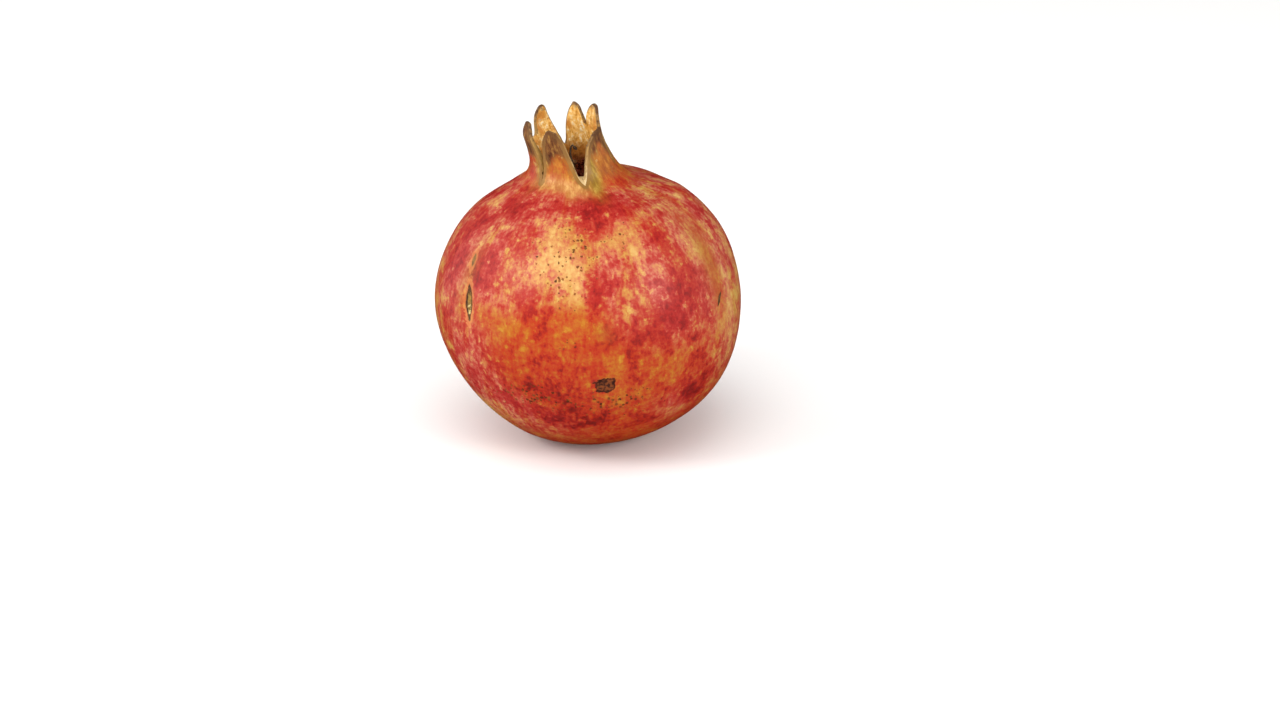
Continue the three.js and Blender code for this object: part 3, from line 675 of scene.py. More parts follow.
def section_spun(name, section, steps):
    """A closed mesh turned about +Z: a point is extruded along the section and spun.

    Each vertex keeps its place in the section, in the attribute row."""
    bpy.ops.object.select_all(action="DESELECT")
    bpy.ops.mesh.primitive_plane_add(size=MM)
    piece = bpy.context.active_object
    piece.name = piece.data.name = name
    bpy.ops.object.mode_set(mode="EDIT")
    bpy.ops.mesh.select_all(action="SELECT")
    bpy.ops.mesh.merge(type="CENTER")
    bpy.ops.transform.translate(value=(section[0][0] * MM, 0, section[0][1] * MM))
    for (radius, z), (next_radius, next_z) in zip(section, section[1:]):
        move = ((next_radius - radius) * MM, 0, (next_z - z) * MM)
        bpy.ops.mesh.extrude_region_move(TRANSFORM_OT_translate={"value": move})
    bpy.ops.object.mode_set(mode="OBJECT")
    row = piece.data.attributes.new("row", "INT", "POINT")
    row.data.foreach_set("value", range(len(section)))
    bpy.ops.object.mode_set(mode="EDIT")
    bpy.ops.mesh.select_all(action="SELECT")
    bpy.ops.mesh.spin(steps=steps, angle=2 * math.pi, center=(0, 0, 0), axis=(0, 0, 1))
    bpy.ops.mesh.select_all(action="SELECT")
    bpy.ops.mesh.remove_doubles(threshold=MERGE_DISTANCE * MM)
    bpy.ops.mesh.normals_make_consistent(inside=False)
    bpy.ops.object.mode_set(mode="OBJECT")
    bpy.ops.object.shade_smooth()
    return piece


def vertex_array(piece):
    """The piece's vertices in mm."""
    flat = np.empty(len(piece.data.vertices) * 3, np.float32)
    piece.data.vertices.foreach_get("co", flat)
    return flat.reshape(-1, 3).astype(float) / MM


def set_vertices(piece, points):
    """Moves the piece's vertices to points in mm."""
    piece.data.vertices.foreach_set("co", (points * MM).astype(np.float32).ravel())
    piece.data.update()


def vertex_values(piece, name):
    """A whole-number attribute of the piece's vertices."""
    values = np.empty(len(piece.data.vertices), np.int32)
    piece.data.attributes[name].data.foreach_get("value", values)
    return values


def paint(piece, name, values):
    """Stores a number for each vertex, for a material to read."""
    attribute = piece.data.attributes.new(name, "FLOAT", "POINT")
    attribute.data.foreach_set("value", np.asarray(values, np.float32).ravel())


def spun_columns(piece, steps):
    """The column of each vertex of a spun mesh, counted anticlockwise from +X."""
    points = vertex_array(piece)
    turn = np.arctan2(points[:, 1], points[:, 0]) / (2 * math.pi)
    return np.round(turn * steps).astype(int) % steps


def finish_piece(piece, slot, *nodes):
    """Rides the piece on the fruit's one body and lets it stand for its CAD nodes."""
    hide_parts(*nodes)
    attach(piece, "root")


# ---- Fruit: rind, neck and crown, grown as one ----


def patched(grid, base, patches, axis_x=0):
    """A colour field: a base, and soft patches that reach half their amount at their half size."""
    x, y, z = np.moveaxis(grid, -1, 0)
    x = x - axis_x
    azimuth, radius = np.degrees(np.arctan2(y, x)), np.hypot(x, y)
    value = np.zeros_like(z) + base
    for _, patch_azimuth, patch_z, half_width, half_height, amount in patches:
        aside = np.radians(wrapped(azimuth - patch_azimuth)) * radius
        distance = np.square(aside / half_width) + np.square((z - patch_z) / half_height)
        value = value + amount * 0.5**distance
    return value


def blush_field(grid):
    """Patches on the front, and clouds of about their size on the side that turns away."""
    azimuth = np.degrees(np.arctan2(grid[..., 1], grid[..., 0]))
    away = 1 - bell(wrapped(azimuth - FRONT_AZIMUTH) / AWAY_SPREAD) ** 2
    wandering = sum(amount * uneven(grid + shift, size) for amount, size, shift in AWAY_WANDER)
    return patched(grid, BLUSH_BASE + away * wandering, BLUSH)


def rim_distance(grid, zones):
    """The distance in whole mm, rounded down, from the calyx's outer face to its rim."""
    outer = np.flatnonzero(zones == "outer")
    rim = grid[outer[-1]]
    distance = np.full(grid.shape[:2], FAR_FROM_RIM, float)
    for row in outer:
        gaps = np.linalg.norm(grid[row][:, None] - rim[None], axis=-1)
        distance[row] = np.floor(np.minimum(gaps.min(1), FAR_FROM_RIM))
    return distance


# The rind's material reads these fields, and the torn edge's reads "cream" and "tipward".
RIND_FIELDS = (
    "blush", "warmth", "ochre", "olive", "peach", "dry", "specks", "stem_end", "from_rim", "tipward"
)


def colour_fields(grid, columns, zones):
    """How much of each colour the skin carries at each point, for the materials to read."""
    z = grid[..., 2]
    radius = np.hypot(grid[..., 0], grid[..., 1])
    on_calyx = smooth(CROWN_BASE_Z - CALYX_FADE, CROWN_BASE_Z + CALYX_FADE, z)
    above_root = smooth(OCHRE_FROM_Z, OCHRE_FULL_Z, z)
    axis_x = crown_centre_x(z)

    def both(body, base, patches):
        """The body's own value below the calyx's base, and the calyx's above it."""
        return body * (1 - on_calyx) + patched(grid, base, patches, axis_x) * on_calyx

    calyx_blush = CALYX_BLUSH_BASE + CALYX_WANDER * uneven(grid, CALYX_WANDER_SIZE)
    warmth = patched(grid, 1 - smooth(WARMTH_FULL_Z, WARMTH_TOP_Z, z), WARMTH)
    tipward = np.clip((z - SLIT_LEVEL_Z) / (columns.top_z - SLIT_LEVEL_Z), 0, 1)
    return {
        "blush": both(blush_field(grid), calyx_blush, CALYX_BLUSH),
        "warmth": both(warmth, CALYX_WARMTH_BASE, CALYX_WARMTH),
        "ochre": patched(grid, CALYX_OCHRE_BASE, CALYX_OCHRE, axis_x) * above_root,
        "olive": patched(grid, patched(grid, 0, OLIVE), CALYX_OLIVE, axis_x),
        "peach": patched(grid, 0, CALYX_PEACH, axis_x),
        "dry": patched(grid, tipward, CALYX_DRY, axis_x) * on_calyx,
        "specks": patched(grid, SPECKS_BASE, SPECKS),
        "stem_end": (1 - smooth(STEM_RING_INSIDE, STEM_RING_OUTSIDE, radius)) * (z < EQUATOR_Z),
        "from_rim": rim_distance(grid, zones),
        "tipward": tipward,
        "cream": patched(grid, 0, CALYX_CREAM, axis_x),
    }


def unwrap_grid(piece, row, column, heights):
    """Lays the mesh out as one sheet: columns across, rows up at the given heights.

    A face on the seam runs past the sheet's right edge, and a corner on the axis goes midway."""
    layer = piece.data.uv_layers.new(name="OFBake")
    corner = np.empty(len(piece.data.loops), np.int32)
    piece.data.loops.foreach_get("vertex_index", corner)
    across = column[corner] / COLUMNS
    up = heights[row[corner]]
    last_row = row.max()
    uv = np.empty((len(corner), 2), np.float32)
    for face in piece.data.polygons:
        span = slice(face.loop_start, face.loop_start + face.loop_total)
        u = across[span].copy()
        on_axis = np.isin(row[corner[span]], (0, last_row))
        ring = u[~on_axis]
        if ring.max() - ring.min() > 0.5:
            u[u < 0.5] += 1
            ring = u[~on_axis]
        u[on_axis] = ring.mean()
        uv[span, 0] = u
        uv[span, 1] = up[span]
    layer.data.foreach_set("uv", uv.ravel())


def fruit_grid(columns):
    """The skin's points in rows and columns, each row's zone, and the steps from row to row.

    With them goes each point's place on a drum as wide as the body, as high up as its column has
    climbed to it. Patterns that run up the fruit are drawn there."""
    rows = fruit_rows()
    zones = np.array([zone for zone, _ in rows])
    grid = np.array([PLACE_ROW[zone](columns, share) for zone, share in rows])
    steps = np.linalg.norm(np.diff(grid, axis=0), axis=-1)
    climbed = np.concatenate([np.zeros((1, COLUMNS)), np.cumsum(steps, axis=0)])
    azimuth = np.arctan2(grid[..., 1], grid[..., 0] - crown_centre_x(grid[..., 2]))
    meridian = (BODY_RADIUS * np.cos(azimuth), BODY_RADIUS * np.sin(azimuth), climbed)
    off_floor = smooth(UNEVENNESS_FROM_Z, UNEVENNESS_FULL_Z, grid[..., 2])
    relief = fine_relief(grid, np.isin(zones, ("inner", "cup"))) * off_floor
    grid = grid + outward(grid) * relief[..., None]
    grid[0], grid[-1] = grid[0].mean(0), grid[-1].mean(0)
    return grid, zones, steps, np.stack(meridian, -1)


def sheet_heights(zones, steps):
    """Each row's height when the skin is laid out as one sheet."""
    density = np.where(np.isin(zones, ("outer", "lip", "inner")), CROWN_SHEET_SHARE, 1.0)
    heights = np.concatenate([[0], np.cumsum(steps.mean(1) * density[1:])])
    return SHEET_MARGIN + (1 - 2 * SHEET_MARGIN) * heights / heights[-1]


def finish_skin(fruit, zones, row):
    """Rind outside, cork along the calyx's torn edge, and lining inside it."""
    for material in (rind_material(), lip_material(), lining_material()):
        fruit.data.materials.append(material)
    on_lip, on_lining = 1, 2
    lip_rows = np.flatnonzero(zones == "lip")
    for face in fruit.data.polygons:
        upper = max(row[v] for v in face.vertices)
        if lip_rows[0] <= upper <= lip_rows[-1] + 1:
            face.material_index = on_lip
        elif upper > lip_rows[-1]:
            face.material_index = on_lining


def make_fruit():
    """The fruit as one skin, from the middle of the dimple over the crown to the cup's floor."""
    columns = crown_columns()
    grid, zones, steps, meridian = fruit_grid(columns)
    radius = np.hypot(grid[..., 0] - grid[..., 0].mean(1, keepdims=True), grid[..., 1])
    section = list(zip(radius.mean(1), grid[..., 2].mean(1)))
    section[0], section[-1] = (0, section[0][1]), (0, section[-1][1])
    fruit = section_spun("pomegranate", section, COLUMNS)
    row = vertex_values(fruit, "row")
    column = spun_columns(fruit, COLUMNS)
    set_vertices(fruit, grid[row, column])
    unwrap_grid(fruit, row, column, sheet_heights(zones, steps))
    for name, values in colour_fields(grid, columns, zones).items():
        paint(fruit, name, values[row, column])
    stored = fruit.data.attributes.new("meridian", "FLOAT_VECTOR", "POINT")
    stored.data.foreach_set("vector", (meridian[row, column] * MM).astype(np.float32).ravel())
    fruit.data.attributes.remove(fruit.data.attributes["row"])
    finish_skin(fruit, zones, row)
    finish_piece(fruit, "rind", "fruit")


# ---- What is left of the flower, in the cup ----


def through(points, count):
    """A smooth line of count + 1 points through the given points (Catmull-Rom)."""
    points = np.array(points, float)
    ends = (2 * points[0] - points[1], 2 * points[-1] - points[-2])
    points = np.concatenate([[ends[0]], points, [ends[1]]])
    line = []
    for place in np.linspace(0, len(points) - 3, count + 1):
        i = min(int(place), len(points) - 4)
        t = place - i
        a, b, c, d = points[i : i + 4]
        bend = (2 * a - 5 * b + 4 * c - d) * t**2 + (3 * b - a - 3 * c + d) * t**3
        line.append(0.5 * (2 * b + (c - a) * t + bend))
    return np.array(line)


def stamen_line(places):
    """A filament's line from (radius, azimuth, height) places round the cup's axis."""
    points = [polar_points(crown_centre_x(z), r, azimuth, z) for r, azimuth, z in places]
    return through(points, FILAMENT_STEPS)


def strands(name, lines, thickness):
    """Thin tubes along lines in mm, thickest at their roots, as one mesh."""
    curve = bpy.data.curves.new(name, "CURVE")
    curve.dimensions = "3D"
    curve.bevel_depth = thickness * MM
    curve.bevel_resolution = 2
    curve.use_fill_caps = True
    for line in lines:
        spline = curve.splines.new("POLY")
        spline.points.add(len(line) - 1)
        for i, (point, place) in enumerate(zip(spline.points, line)):
            point.co = (*(place * MM), 1)
            point.radius = ROOT_THICKNESS - (ROOT_THICKNESS - TIP_THICKNESS) * i / (len(line) - 1)
    piece = bpy.data.objects.new(name, curve)
    bpy.context.collection.objects.link(piece)
    bpy.ops.object.select_all(action="DESELECT")
    piece.select_set(True)
    bpy.context.view_layer.objects.active = piece
    bpy.ops.object.convert(target="MESH")
    bpy.ops.object.shade_smooth()
    return bpy.context.active_object


def anther(place, along, length, width):
    """A dried anther: a bean with a groove down its length."""
    bpy.ops.object.select_all(action="DESELECT")
    bpy.ops.mesh.primitive_uv_sphere_add(segments=12, ring_count=8, radius=1)
    bean = bpy.context.active_object
    points = vertex_array(bean) * MM
    in_groove = bell(points[:, 1] / ANTHER_GROOVE_WIDTH) * (points[:, 0] > 0)
    groove = 1 - ANTHER_GROOVE * in_groove
    points = points * (width, width * ANTHER_BREADTH, length)
    points[:, 0] *= groove
    turn = Vector(along).to_track_quat("Z", "X").to_matrix()
    set_vertices(bean, points @ np.array(turn).T + place)
    bpy.ops.object.shade_smooth()
    return bean


def joined(name, pieces):
    """Several meshes as one piece."""
    bpy.ops.object.select_all(action="DESELECT")
    for piece in pieces:
        piece.select_set(True)
    bpy.context.view_layer.objects.active = pieces[0]
    bpy.ops.object.join()
    piece = bpy.context.active_object
    piece.name = piece.data.name = name
    return piece


def roughened(piece, height, size):
    """Pushes the piece's surface in and out along its normals."""
    points = vertex_array(piece)
    normals = np.array([v.normal for v in piece.data.vertices])
    set_vertices(piece, points + normals * (height * uneven(points, size))[:, None])


def make_stamen_ring():
    """The lumpy ring that the stamens grow from, with a rounded top."""
    half = RING_WIDTH / 2
    inner, outer = RING_RADIUS - half, RING_RADIUS + half
    bottom, top = RING_Z - RING_HEIGHT / 2, RING_Z + RING_HEIGHT / 2
    shoulder = RING_Z + RING_HEIGHT * 0.35
    section = [
        (inner, RING_Z),
        (inner, bottom),
        (outer, bottom),
        (outer, RING_Z),
        (RING_RADIUS + half / 2, shoulder),
        (RING_RADIUS, top),
        (RING_RADIUS - half / 2, shoulder),
        (inner, RING_Z),
    ]
    ring = section_spun("stamen_ring", section, steps=180)
    set_vertices(ring, vertex_array(ring) + (float(crown_centre_x(RING_Z)), 0, 0))
    roughened(ring, height=0.12, size=0.8)
    return ring


def make_stamens():
    """The withered stamens round the cup, leaning inwards, on their ring."""
    ring = make_stamen_ring()
    random.seed(STAMEN_SEED)
    lines = []
    for i in range(STAMEN_COUNT):
        azimuth = HOOKED_AZIMUTH + 360 * (i + 0.9 + 0.4 * random.random()) / (STAMEN_COUNT + 0.9)
        height = STAMEN_HEIGHT * random.uniform(0.55, 1.15)
        drift = STAMEN_DRIFT * random.uniform(-0.5, 0.5)
        reach = RING_RADIUS + random.uniform(-0.2, 0.8)
        nod = STAMEN_NOD * random.uniform(0.6, 1.4)
        places = [
            (RING_RADIUS, azimuth, RING_Z - 0.2),
            (reach, azimuth + drift * 0.3, RING_Z + height * 0.55),
            (reach - nod * 0.3, azimuth + drift * 0.7, RING_Z + height),
            (reach - nod, azimuth + drift, RING_Z + height + 0.7),
        ]
        lines.append(stamen_line(places))
    filaments = strands("filaments", lines, FILAMENT_RADIUS)
    anthers = [anther(line[-1], line[-1] - line[-2], length=0.75, width=0.38) for line in lines]
    stamens = joined("dried_stamens", [filaments, ring, *anthers])
    stamens.data.materials.clear()
    stamens.data.materials.append(stamen_material())
    finish_piece(stamens, "dried_stamens", "dried_stamens")


def make_hooked_stamen():
    """The one long stamen that stands up in the front slit and hooks over to the right."""
    places = [
        (RING_RADIUS, HOOKED_AZIMUTH, RING_Z + RING_HEIGHT / 2 + GAP),
        (8.3, HOOKED_AZIMUTH - 3, 82),
        (8.4, HOOKED_AZIMUTH - 1.5, 85),
        (8.4, HOOKED_AZIMUTH + 1, 87.1),
        (8.4, HOOKED_AZIMUTH + 6.5, 88.9),
        (8.4, HOOKED_AZIMUTH + 12, 89.7),
        (8.4, HOOKED_AZIMUTH + 15.5, 88.9),
    ]
    line = stamen_line(places)
    stalk = strands("hooked_filament", [line], HOOKED_RADIUS)
    head = anther(line[-1], line[-1] - line[-2], length=0.85, width=0.5)
    stamen = joined("hooked_stamen_piece", [stalk, head])
    stamen.data.materials.clear()
    stamen.data.materials.append(hooked_stamen_material())
    roughened(stamen, height=0.05, size=0.5)
    finish_piece(stamen, "dried_stamens", "hooked_stamen")


def make_style():
    """The dried style in the middle of the cup: a furrowed, bowed stalk under a knob."""
    foot = CUP_FLOOR_Z + GAP
    top = foot + STYLE_HEIGHT
    neck = top - STIGMA_RADIUS
    waist = foot + 0.7 * (neck - foot)
    outline = [
        (0, foot),
        (STYLE_RADIUS * 1.5, foot),
        (STYLE_RADIUS * 1.2, foot + 0.9),
        (STYLE_RADIUS, foot + 2.4),
        (STYLE_RADIUS * 0.9, waist),
        (STYLE_RADIUS, neck - 0.2),
        (STIGMA_RADIUS * 0.9, neck + 0.3),
        (STIGMA_RADIUS, neck + 0.8),
        (STIGMA_RADIUS * 0.6, top),
        (0, top - 0.2),
    ]
    smoothed = through([(radius, 0, z) for radius, z in outline], 6 * (len(outline) - 1))
    section = [(max(radius, 0), z) for radius, _, z in smoothed]
    section[0], section[-1] = outline[0], outline[-1]
    style = section_spun("dried_style_piece", section, steps=48)
    points = vertex_array(style)
    rise = (points[:, 2] - foot) / STYLE_HEIGHT
    turn = np.arctan2(points[:, 1], points[:, 0])
    furrows = STYLE_FURROW_DEPTH * np.cos(STYLE_FURROWS * turn) * smooth(0.1, 0.5, rise)
    points[:, :2] *= (1 - furrows)[:, None]
    points[:, 0] += CROWN_OFFSET_X - STYLE_BOW * rise**2
    set_vertices(style, points)
    roughened(style, height=0.06, size=0.6)
    style.data.materials.append(style_material())
    finish_piece(style, "dried_style", "dried_style")


# ---- Stem stub, up inside the dimple ----


def make_stub():
    """The stub: its cut end below, bark round it, and a low cone under the dimple's floor."""
    top = DIMPLE_DEPTH - GAP
    cut = top - STUB_LENGTH
    outline = [(STUB_RADIUS * i / STUB_CUT_RINGS, cut) for i in range(STUB_CUT_RINGS)]
    outline += [
        (STUB_RADIUS - STUB_BEVEL, cut),
        (STUB_RADIUS - STUB_BEVEL * 0.3, cut + STUB_BEVEL * 0.3),
        (STUB_RADIUS, cut + STUB_BEVEL),
    ]
    for up in STUB_BARK_RINGS:
        flared = max(up - STUB_FLARE_FROM, 0) / STUB_FLARE_HEIGHT
        radius = STUB_RADIUS + (STUB_TOP_RADIUS - STUB_RADIUS) * flared
        outline.append((radius, cut + STUB_BEVEL + up))
    outline.append((0, top))
    stub = section_spun("stem_stub_piece", outline, steps=96)
    points = vertex_array(stub)
    turn = np.arctan2(points[:, 1], points[:, 0])
    bark = 0.07 * np.cos(11 * turn) + 0.05 * np.cos(23 * turn + 1)
    edge = smooth(STUB_RADIUS * 0.8, STUB_RADIUS, np.hypot(points[:, 0], points[:, 1]))
    points[:, :2] *= (1 - (0.07 + bark) * edge / STUB_RADIUS)[:, None]
    set_vertices(stub, points)
    stub.data.materials.append(bark_material())
    stub.data.materials.append(cut_stem_material())
    on_cut_end = 1
    for face in stub.data.polygons:
        if face.normal.z < -0.7:
            face.material_index = on_cut_end
    finish_piece(stub, "stem_bark", "stem_stub")


# ---- Materials ----


def linear(colour):
    """An sRGB hex colour as linear RGBA."""
    channels = [int(colour[i : i + 2], 16) / 255 for i in (1, 3, 5)]
    curved = [c / 12.92 if c <= 0.04045 else ((c + 0.055) / 1.055) ** 2.4 for c in channels]
    return (*curved, 1)


def per(size):
    """A pattern's scale from the size in mm of one of its features."""
    return 1 / (size * MM)


def new_material(name, **surface):
    """A material with its surface's uniform settings, its node tree and its surface node."""
    material = bpy.data.materials.new(name)
    material.use_nodes = True
    node = material.node_tree.nodes["Principled BSDF"]
    for key, value in surface.items():
        node.inputs[key.replace("_", " ")].default_value = value
    return material, material.node_tree, node


def first_output(node):
    """The first of the node's outputs that is in use."""
    return next(socket for socket in node.outputs if socket.enabled)


def add(tree, kind, inputs=(), stops=(), **settings):
    """Adds a node: its settings, the value or link of each input, and a ramp's stops."""
    node = tree.nodes.new("ShaderNode" + kind)
    node.location = (200 * (len(tree.nodes) % 12), -220 * (len(tree.nodes) // 12))
    for name, value in settings.items():
        setattr(node, name, value)
    for key, value in dict(inputs).items():
        if isinstance(key, int):
            found = node.inputs[key]
        else:
            found = next(s for s in node.inputs if s.enabled and s.name == key)
        if isinstance(value, bpy.types.Node):
            value = first_output(value)
        if isinstance(value, bpy.types.NodeSocket):
            tree.links.new(value, found)
        else:
            found.default_value = value
    for i, (position, colour) in enumerate(stops):
        elements = node.color_ramp.elements
        stop = elements[i] if i < 2 else elements.new(position)
        stop.position = position
        stop.color = linear(colour)
    return node


def joined_to(tree, surface, **links):
    """Links nodes to the surface's inputs."""
    for key, node in links.items():
        tree.links.new(first_output(node), surface.inputs[key.replace("_", " ")])


def scar_mask(tree, coords, scar, width, length, corners, ragged):
    """1 inside a mark of the given half width and half length at a scar, 0 outside.

    Corners of 1 make a rhomb, 2 an ellipse and 4 nearly a rectangle."""
    to_x_axis = {"Rotation": (0, 0, math.radians(-scar.azimuth)), "Location": (0, 0, -scar.z * MM)}
    turned = add(tree, "Mapping", {"Vector": coords, **to_x_axis}, vector_type="POINT")
    upright = {"Vector": turned, "Rotation": (math.radians(scar.tilt), 0, 0)}
    level = add(tree, "Mapping", upright, vector_type="POINT")
    to_unit = {0: level, 1: (0, per(width), per(length))}
    fitted = add(tree, "VectorMath", to_unit, operation="MULTIPLY")
    rough = add(tree, "TexNoise", {"Vector": coords, "Scale": per(1.1), "Detail": 3.0})
    to_middle = {0: rough.outputs["Color"], 1: (0.5, 0.5, 0.5)}
    push = add(tree, "VectorMath", to_middle, operation="SUBTRACT")
    to_ragged = {0: push, 1: (0, ragged, ragged), 2: fitted}
    pushed = add(tree, "VectorMath", to_ragged, operation="MULTIPLY_ADD")
    reach = add(tree, "SeparateXYZ", {0: pushed})
    total = 0.0
    for axis in ("Y", "Z"):
        size = add(tree, "Math", {0: reach.outputs[axis]}, operation="ABSOLUTE")
        power = add(tree, "Math", {0: size, 1: corners}, operation="POWER")
        total = add(tree, "Math", {0: power, 1: total})
    facing = add(tree, "SeparateXYZ", {0: turned}).outputs["X"]
    near = add(tree, "Math", {0: facing, 1: SCAR_SIDE * MM}, operation="GREATER_THAN")
    fade = {"Value": total, "From Min": MASK_OUTSIDE, "From Max": MASK_INSIDE}
    mask = add(tree, "MapRange", fade, interpolation_type="SMOOTHSTEP")
    return add(tree, "Math", {0: mask, 1: near}, operation="MULTIPLY")


# The skin's colours from a bare ground to full cover, at the same stops over each ground.
COVER_STOPS = (0.0, 0.19, 0.31, 0.44, 0.53, 0.63, 0.72, 0.82, 1.0)
CRIMSON_OVER_PEACH = (
    "#c79e5e", "#c08b4f", "#b97747", "#b35c46", "#ab4234", "#a62f26", "#a0201d", "#971817", "#810f11"
)
SCARLET_OVER_YELLOW = (
    "#b99741", "#b48536", "#af712c", "#aa5225", "#a63a1e", "#a32817", "#9e1b13", "#931210", "#7b0f0e"
)
WARM_OVER_ORANGE = (
    "#af791e", "#ab6615", "#a85510", "#a7440e", "#a6370c", "#a52907", "#9c1c06", "#8a1205", "#6a0c05"
)


def rind_noises(tree, coords, meridian):
    """The noises behind the rind's patterns, each about 0: ragged clouds of about 5 mm, streaks
    1.4 mm wide up the fruit, finer flecks and grain, the calyx's fibres, broad changes of ground,
    and pimples."""
    drawn_out = add(tree, "VectorMath", {0: meridian, 1: (1, 1, 0.4)}, operation="MULTIPLY")
    fibrous = add(tree, "VectorMath", {0: meridian, 1: (1, 1, 1.3)}, operation="MULTIPLY")
    mottling = {}
    for name, vector, size, detail, roughness in (
        ("clouds", coords, 5, 6.0, 0.7),
        ("streaks", drawn_out, 1.4, 2.5, 0.55),
        ("grain", coords, 1.1, 2.0, 0.5),
        ("flecks", coords, 2.6, 3.0, 0.6),
        ("fibres", fibrous, 4.5, 5.0, 0.68),
        ("grounds", drawn_out, 9, 4.0, 0.6),
        ("pimples", coords, 3.2, 4.0, 0.6),
    ):
        inputs = {"Vector": vector, "Scale": per(size), "Detail": detail, "Roughness": roughness}
        rough = add(tree, "TexNoise", inputs)
        mottling[name] = add(tree, "Math", {0: rough, 1: 0.5}, operation="SUBTRACT")
    return mottling


def red_cover(tree, blush, mottling):
    """How full the red cover is, from 0 to 1: the blush broken up by clouds, streaks and flecks."""
    ripeness = blush
    for name, share in (("clouds", 2.4), ("streaks", 1.0), ("grain", 0.8)):
        clouded = {0: mottling[name], 1: share, 2: ripeness}
        ripeness = add(tree, "Math", clouded, operation="MULTIPLY_ADD")
    for start, full, amount in ((0.09, 0.16, -0.35), (-0.09, -0.16, 0.22)):
        span = {"From Min": start, "From Max": full, "To Max": amount}
        fade = {"Value": mottling["flecks"], **span}
        fleck = add(tree, "MapRange", fade, interpolation_type="SMOOTHSTEP")
        ripeness = add(tree, "Math", {0: ripeness, 1: fleck})
    return add(tree, "MapRange", {"Value": ripeness, "From Min": -0.3, "From Max": 1.3})


def cover_layers(tree, warmth, mottling, cover):
    """Crimson over a peach ground, then layers of scarlet over yellow and of warm over orange."""
    fade = {"Value": mottling["grounds"], "From Min": -0.03, "From Max": 0.12, "To Max": 0.8}
    scarlet_share = add(tree, "MapRange", fade, interpolation_type="SMOOTHSTEP")
    crimson, scarlet, warm = (
        add(tree, "ValToRGB", {0: cover}, stops=zip(COVER_STOPS, colours))
        for colours in (CRIMSON_OVER_PEACH, SCARLET_OVER_YELLOW, WARM_OVER_ORANGE)
    )
    return crimson, [(scarlet_share, scarlet), (warmth, warm)]


def calyx_layers(tree, read, mottling, fibre_tone):
    """Ochre and olive on the calyx, a peach band at its root, pale flecks towards its tips, and
    the corky ring round the stem."""
    layers = []
    for field, share, stops in (
        ("ochre", 0.75, ((0.2, "#783a0c"), (0.5, "#985410"), (0.8, "#ba7626"))),
        ("olive", 0.85, ((0.2, "#6e5414"), (0.5, "#88691c"), (0.8, "#a88634"))),
        ("peach", 0.85, ((0.2, "#985c26"), (0.5, "#ae753a"), (0.8, "#cc9c5a"))),
        ("stem_end", 0.9, ((0.2, "#5d3f22"), (0.5, "#8a6638"), (0.8, "#b08a58"))),
    ):
        streaky = {0: mottling["fibres"], 1: 0.8, 2: share}
        streaked = add(tree, "Math", streaky, operation="MULTIPLY_ADD")
        there = {0: streaked, 1: read[field]}
        amount = add(tree, "Math", there, operation="MULTIPLY", use_clamp=True)
        layers.append((amount, add(tree, "ValToRGB", {0: fibre_tone}, stops=stops)))
    fade = {"Value": mottling["flecks"], "From Min": 0.12, "From Max": 0.17, "To Max": 0.7}
    pale = add(tree, "MapRange", fade, interpolation_type="SMOOTHSTEP")
    on_lobes = add(tree, "Math", {0: pale, 1: read["tipward"]}, operation="MULTIPLY")
    layers.append((on_lobes, linear("#cdb478")))
    return layers


def worn_layers(tree, read, fibres, fibre_tone):
    """Brown where the lobes are dry, and along their worn edge."""
    brown_stops = ((0.15, "#321404"), (0.4, "#542a0c"), (0.6, "#76481c"), (0.9, "#a27c3a"))
    edge_stops = ((0.0, "#7a5824"), (0.4, "#8a6630"), (0.7, "#7a5628"), (0.95, "#573518"))
    layers = {}
    for field, ragged, start, full, most, along, stops in (
        ("dry", 0.8, 0.5, 0.72, 1.0, fibre_tone, brown_stops),
        ("from_rim", 2.0, 1.2, 0.4, 0.8, read["tipward"], edge_stops),
    ):
        frayed = {0: fibres, 1: ragged, 2: read[field]}
        reach = add(tree, "Math", frayed, operation="MULTIPLY_ADD")
        fade = {"Value": reach, "From Min": start, "From Max": full, "To Max": most}
        amount = add(tree, "MapRange", fade, interpolation_type="SMOOTHSTEP")
        layers[field] = (amount, add(tree, "ValToRGB", {0: along}, stops=stops))
    return layers


def speck_layer(tree, coords, gathering):
    """Corky specks up to 1 mm across, thick where they gather and rare elsewhere."""
    wobble = add(tree, "TexNoise", {"Vector": coords, "Scale": per(0.7), "Detail": 1.0})
    to_jitter = {0: wobble.outputs["Color"], 1: (0.7 * MM,) * 3, 2: coords}
    jittered = add(tree, "VectorMath", to_jitter, operation="MULTIPLY_ADD")
    cells = add(tree, "TexVoronoi", {"Vector": jittered, "Scale": per(1.05)})
    drawn = add(tree, "SeparateColor", {0: cells.outputs["Color"]})
    chosen = add(tree, "Math", {0: drawn.outputs["Red"], 1: gathering})
    grown = {"Value": chosen, "From Min": 1.25, "From Max": 1.9, "To Max": 0.5}
    size = add(tree, "MapRange", grown)
    depth = add(tree, "Math", {0: size, 1: cells.outputs["Distance"]}, operation="SUBTRACT")
    fade = {"Value": depth, "From Min": -0.03, "From Max": 0.06, "To Max": 0.9}
    speck = add(tree, "MapRange", fade, interpolation_type="SMOOTHSTEP")
    speck_stops = ((0.0, "#3a1606"), (0.5, "#5e2e0c"), (1.0, "#804612"))
    return speck, add(tree, "ValToRGB", {0: drawn.outputs["Green"]}, stops=speck_stops)


